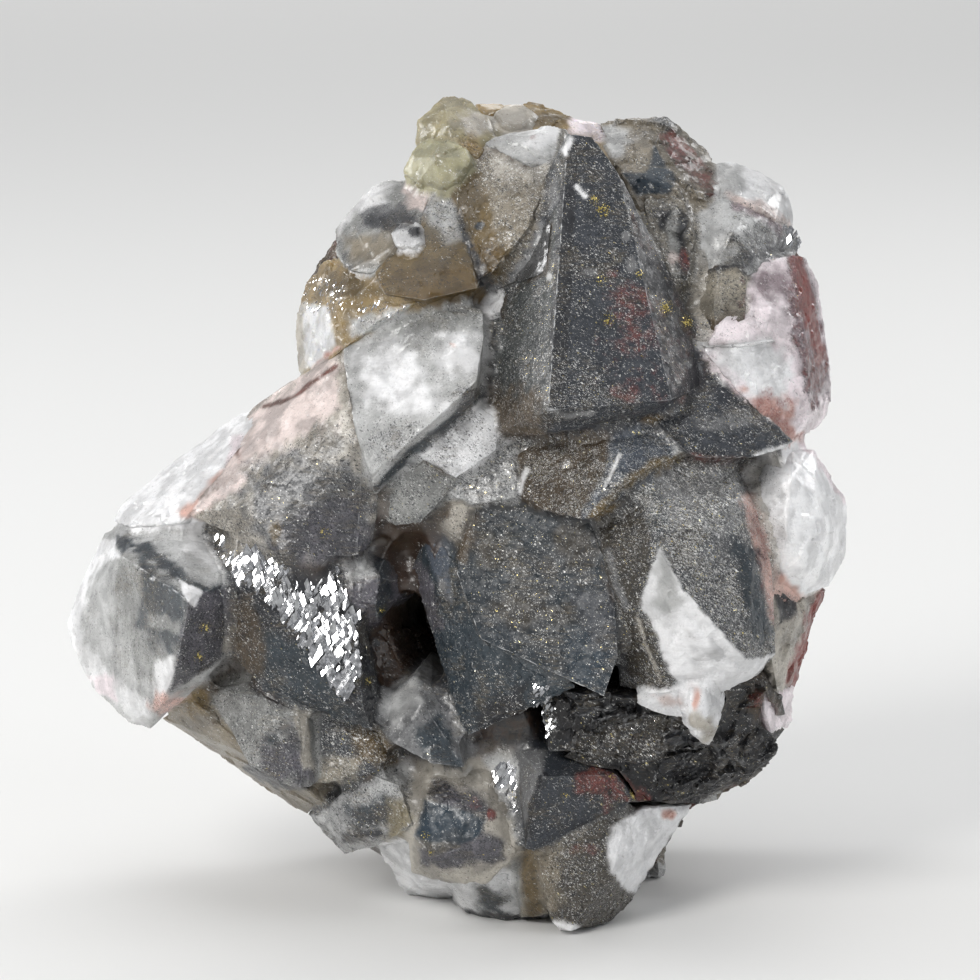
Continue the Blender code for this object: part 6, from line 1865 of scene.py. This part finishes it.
def build_stage():
    """The floor, which turns up far away on all sides, the lights and the camera."""
    colours = bpy.context.scene.specimen_colours
    profile = [(0, 0), (1.0, 0), (FLOOR_RADIUS, 0)]
    profile += [(FLOOR_RADIUS + FLOOR_BEND * math.sin(turn), FLOOR_BEND * (1 - math.cos(turn)))
                for turn in np.linspace(0.08, math.radians(FLOOR_TURN), FLOOR_ROWS)]
    shape = bmesh.new()
    verts = [shape.verts.new((x, 0, z)) for x, z in profile]
    edges = [shape.edges.new(pair) for pair in zip(verts[:-1], verts[1:])]
    bmesh.ops.spin(shape, geom=verts + edges, cent=(0, 0, 0), axis=(0, 0, 1), angle=math.tau,
                   steps=FLOOR_SECTORS, use_merge=True)
    bmesh.ops.remove_doubles(shape, verts=shape.verts, dist=1e-5)
    bmesh.ops.recalc_face_normals(shape, faces=shape.faces)
    for face in shape.faces:
        face.smooth = True
    mesh = bpy.data.meshes.new("floor")
    shape.to_mesh(mesh)
    shape.free()
    floor = new_object("floor", mesh)
    paint, tree, shader = new_material("floor_paint")
    feed(tree, shader, {"Base Color": colours.floor, "Roughness": 0.85, "Specular IOR Level": 0.2})
    floor.data.materials.append(paint)
    for name, way, distance, size, power, colour in LIGHTS:
        light = bpy.data.lights.new(name, "AREA")
        light.shape = "DISK"
        light.size = size
        light.energy = power
        light.color = colour
        lamp = new_object(name, light)
        lamp.location = AIM + Vector(way).normalized() * distance
        lamp.rotation_euler = (-Vector(way)).to_track_quat("-Z", "Y").to_euler()
        lamp.visible_camera = False
    world = bpy.data.worlds.new("studio")
    world.use_nodes = True
    feed(world.node_tree, world.node_tree.nodes["Background"], {"Color": SKY, "Strength": SKY_STRENGTH})
    bpy.context.scene.world = world
    bpy.context.scene.view_settings.view_transform = "Standard"
    view = bpy.data.cameras.new("camera")
    view.sensor_width = SENSOR
    view.lens = VIEW_DISTANCE * SENSOR / FRAME_SPAN
    view.clip_start = 0.01
    eye = new_object("camera", view)
    eye.location = seen(VIEW_ACROSS, VIEW_UP, VIEW_DISTANCE) * MM
    eye.rotation_euler = (-VIEW_WAY).to_track_quat("-Z", "Y").to_euler()
    bpy.context.scene.camera = eye


# Operators
class SPECIMEN_OT_body(bpy.types.Operator):
    """The body that the crystals grew from, with its hollows"""
    bl_idname = "specimen.body"
    bl_label = "Body"

    def execute(self, context):
        build_body()
        return {"FINISHED"}


class SPECIMEN_OT_rock(bpy.types.Operator):
    """The red and black rock behind and below the crystals"""
    bl_idname = "specimen.rock"
    bl_label = "Host rock"

    def execute(self, context):
        build_rock()
        return {"FINISHED"}


class SPECIMEN_OT_white(bpy.types.Operator):
    """The white and pale crystals"""
    bl_idname = "specimen.white"
    bl_label = "White crystals"

    def execute(self, context):
        build_finish("white")
        return {"FINISHED"}


class SPECIMEN_OT_grey(bpy.types.Operator):
    """The grey and beige crystals with a little dust"""
    bl_idname = "specimen.grey"
    bl_label = "Grey crystals"

    def execute(self, context):
        build_finish("grey")
        return {"FINISHED"}


class SPECIMEN_OT_honey(bpy.types.Operator):
    """The honey-coloured crystals that light passes into"""
    bl_idname = "specimen.honey"
    bl_label = "Honey crystals"

    def execute(self, context):
        build_finish("honey")
        return {"FINISHED"}


class SPECIMEN_OT_dark(bpy.types.Operator):
    """The crystals that are dark with included hematite"""
    bl_idname = "specimen.dark"
    bl_label = "Dark crystals"

    def execute(self, context):
        build_finish("dark")
        return {"FINISHED"}


class SPECIMEN_OT_clear(bpy.types.Operator):
    """The clear skin on the flank of the spire"""
    bl_idname = "specimen.clear"
    bl_label = "Clear skin"

    def execute(self, context):
        build_finish("clear")
        return {"FINISHED"}


class SPECIMEN_OT_flakes(bpy.types.Operator):
    """Mirror-bright cleavage flakes on the glittering faces"""
    bl_idname = "specimen.flakes"
    bl_label = "Bright flakes"

    def execute(self, context):
        sizes = context.scene.specimen_sizes
        length = sizes.flake
        build_grains("bright_flakes", [*glint_names(), "host_rock_face"],
                     {"Where": "glint", "Density": sizes.flake_density * 1e4,
                      "Size": (length, length * 0.46, length * 0.07), "Lean": 0.7, "Facing": GLINT_WAY,
                      "Spread": 0.22, "Along": (0.6, 0.0, 1.0), "Turn": 0.28, "Least": 0.14,
                      "Lift": 0.00006, "Seed": 4}, "flake")
        return {"FINISHED"}


class SPECIMEN_OT_brass(bpy.types.Operator):
    """Brass-yellow grains in small nests"""
    bl_idname = "specimen.brass"
    bl_label = "Brass grains"

    def execute(self, context):
        sizes = context.scene.specimen_sizes
        width = sizes.brass_grain
        build_grains("brass_grains", list(CRYSTALS),
                     {"Where": "brass", "Density": sizes.brass_density * 1e4, "Size": (width, width, width),
                      "Lean": 0.2, "Facing": GLINT_WAY, "Spread": 0.9, "Along": (0.4, 0.0, 1.0), "Turn": 0.9,
                      "Least": 0.35, "Lift": 0.00002, "Seed": 9}, "brass")
        return {"FINISHED"}


class SPECIMEN_OT_stage(bpy.types.Operator):
    """The floor, the lights and the camera"""
    bl_idname = "specimen.stage"
    bl_label = "Stage"

    def execute(self, context):
        build_stage()
        return {"FINISHED"}


class SPECIMEN_PT_panel(bpy.types.Panel):
    """Sizes, colours and steps of the specimen"""
    bl_label = "Specimen"
    bl_idname = "SPECIMEN_PT_panel"
    bl_space_type = "VIEW_3D"
    bl_region_type = "UI"
    bl_category = "Specimen"

    def draw(self, context):
        for group in (context.scene.specimen_sizes, context.scene.specimen_colours):
            box = self.layout.box()
            for name in group.__annotations__:
                box.prop(group, name)
        for step in STEPS_IN_ORDER:
            self.layout.operator(step.bl_idname)


STEPS_IN_ORDER = (SPECIMEN_OT_white, SPECIMEN_OT_grey, SPECIMEN_OT_honey, SPECIMEN_OT_dark,
                  SPECIMEN_OT_clear, SPECIMEN_OT_body, SPECIMEN_OT_rock, SPECIMEN_OT_flakes,
                  SPECIMEN_OT_brass, SPECIMEN_OT_stage)
CLASSES = (SpecimenSizes, SpecimenColours, *STEPS_IN_ORDER, SPECIMEN_PT_panel)


def register():
    for kind in CLASSES:
        bpy.utils.register_class(kind)
    bpy.types.Scene.specimen_sizes = bpy.props.PointerProperty(type=SpecimenSizes)
    bpy.types.Scene.specimen_colours = bpy.props.PointerProperty(type=SpecimenColours)


def unregister():
    del bpy.types.Scene.specimen_colours
    del bpy.types.Scene.specimen_sizes
    for kind in reversed(CLASSES):
        bpy.utils.unregister_class(kind)


def main():
    register()
    bpy.ops.specimen.white()
    bpy.ops.specimen.grey()
    bpy.ops.specimen.honey()
    bpy.ops.specimen.dark()
    bpy.ops.specimen.clear()
    bpy.ops.specimen.body()
    bpy.ops.specimen.rock()
    bpy.ops.specimen.flakes()
    bpy.ops.specimen.brass()
    bpy.ops.specimen.stage()


if __name__ == "__main__":
    main()
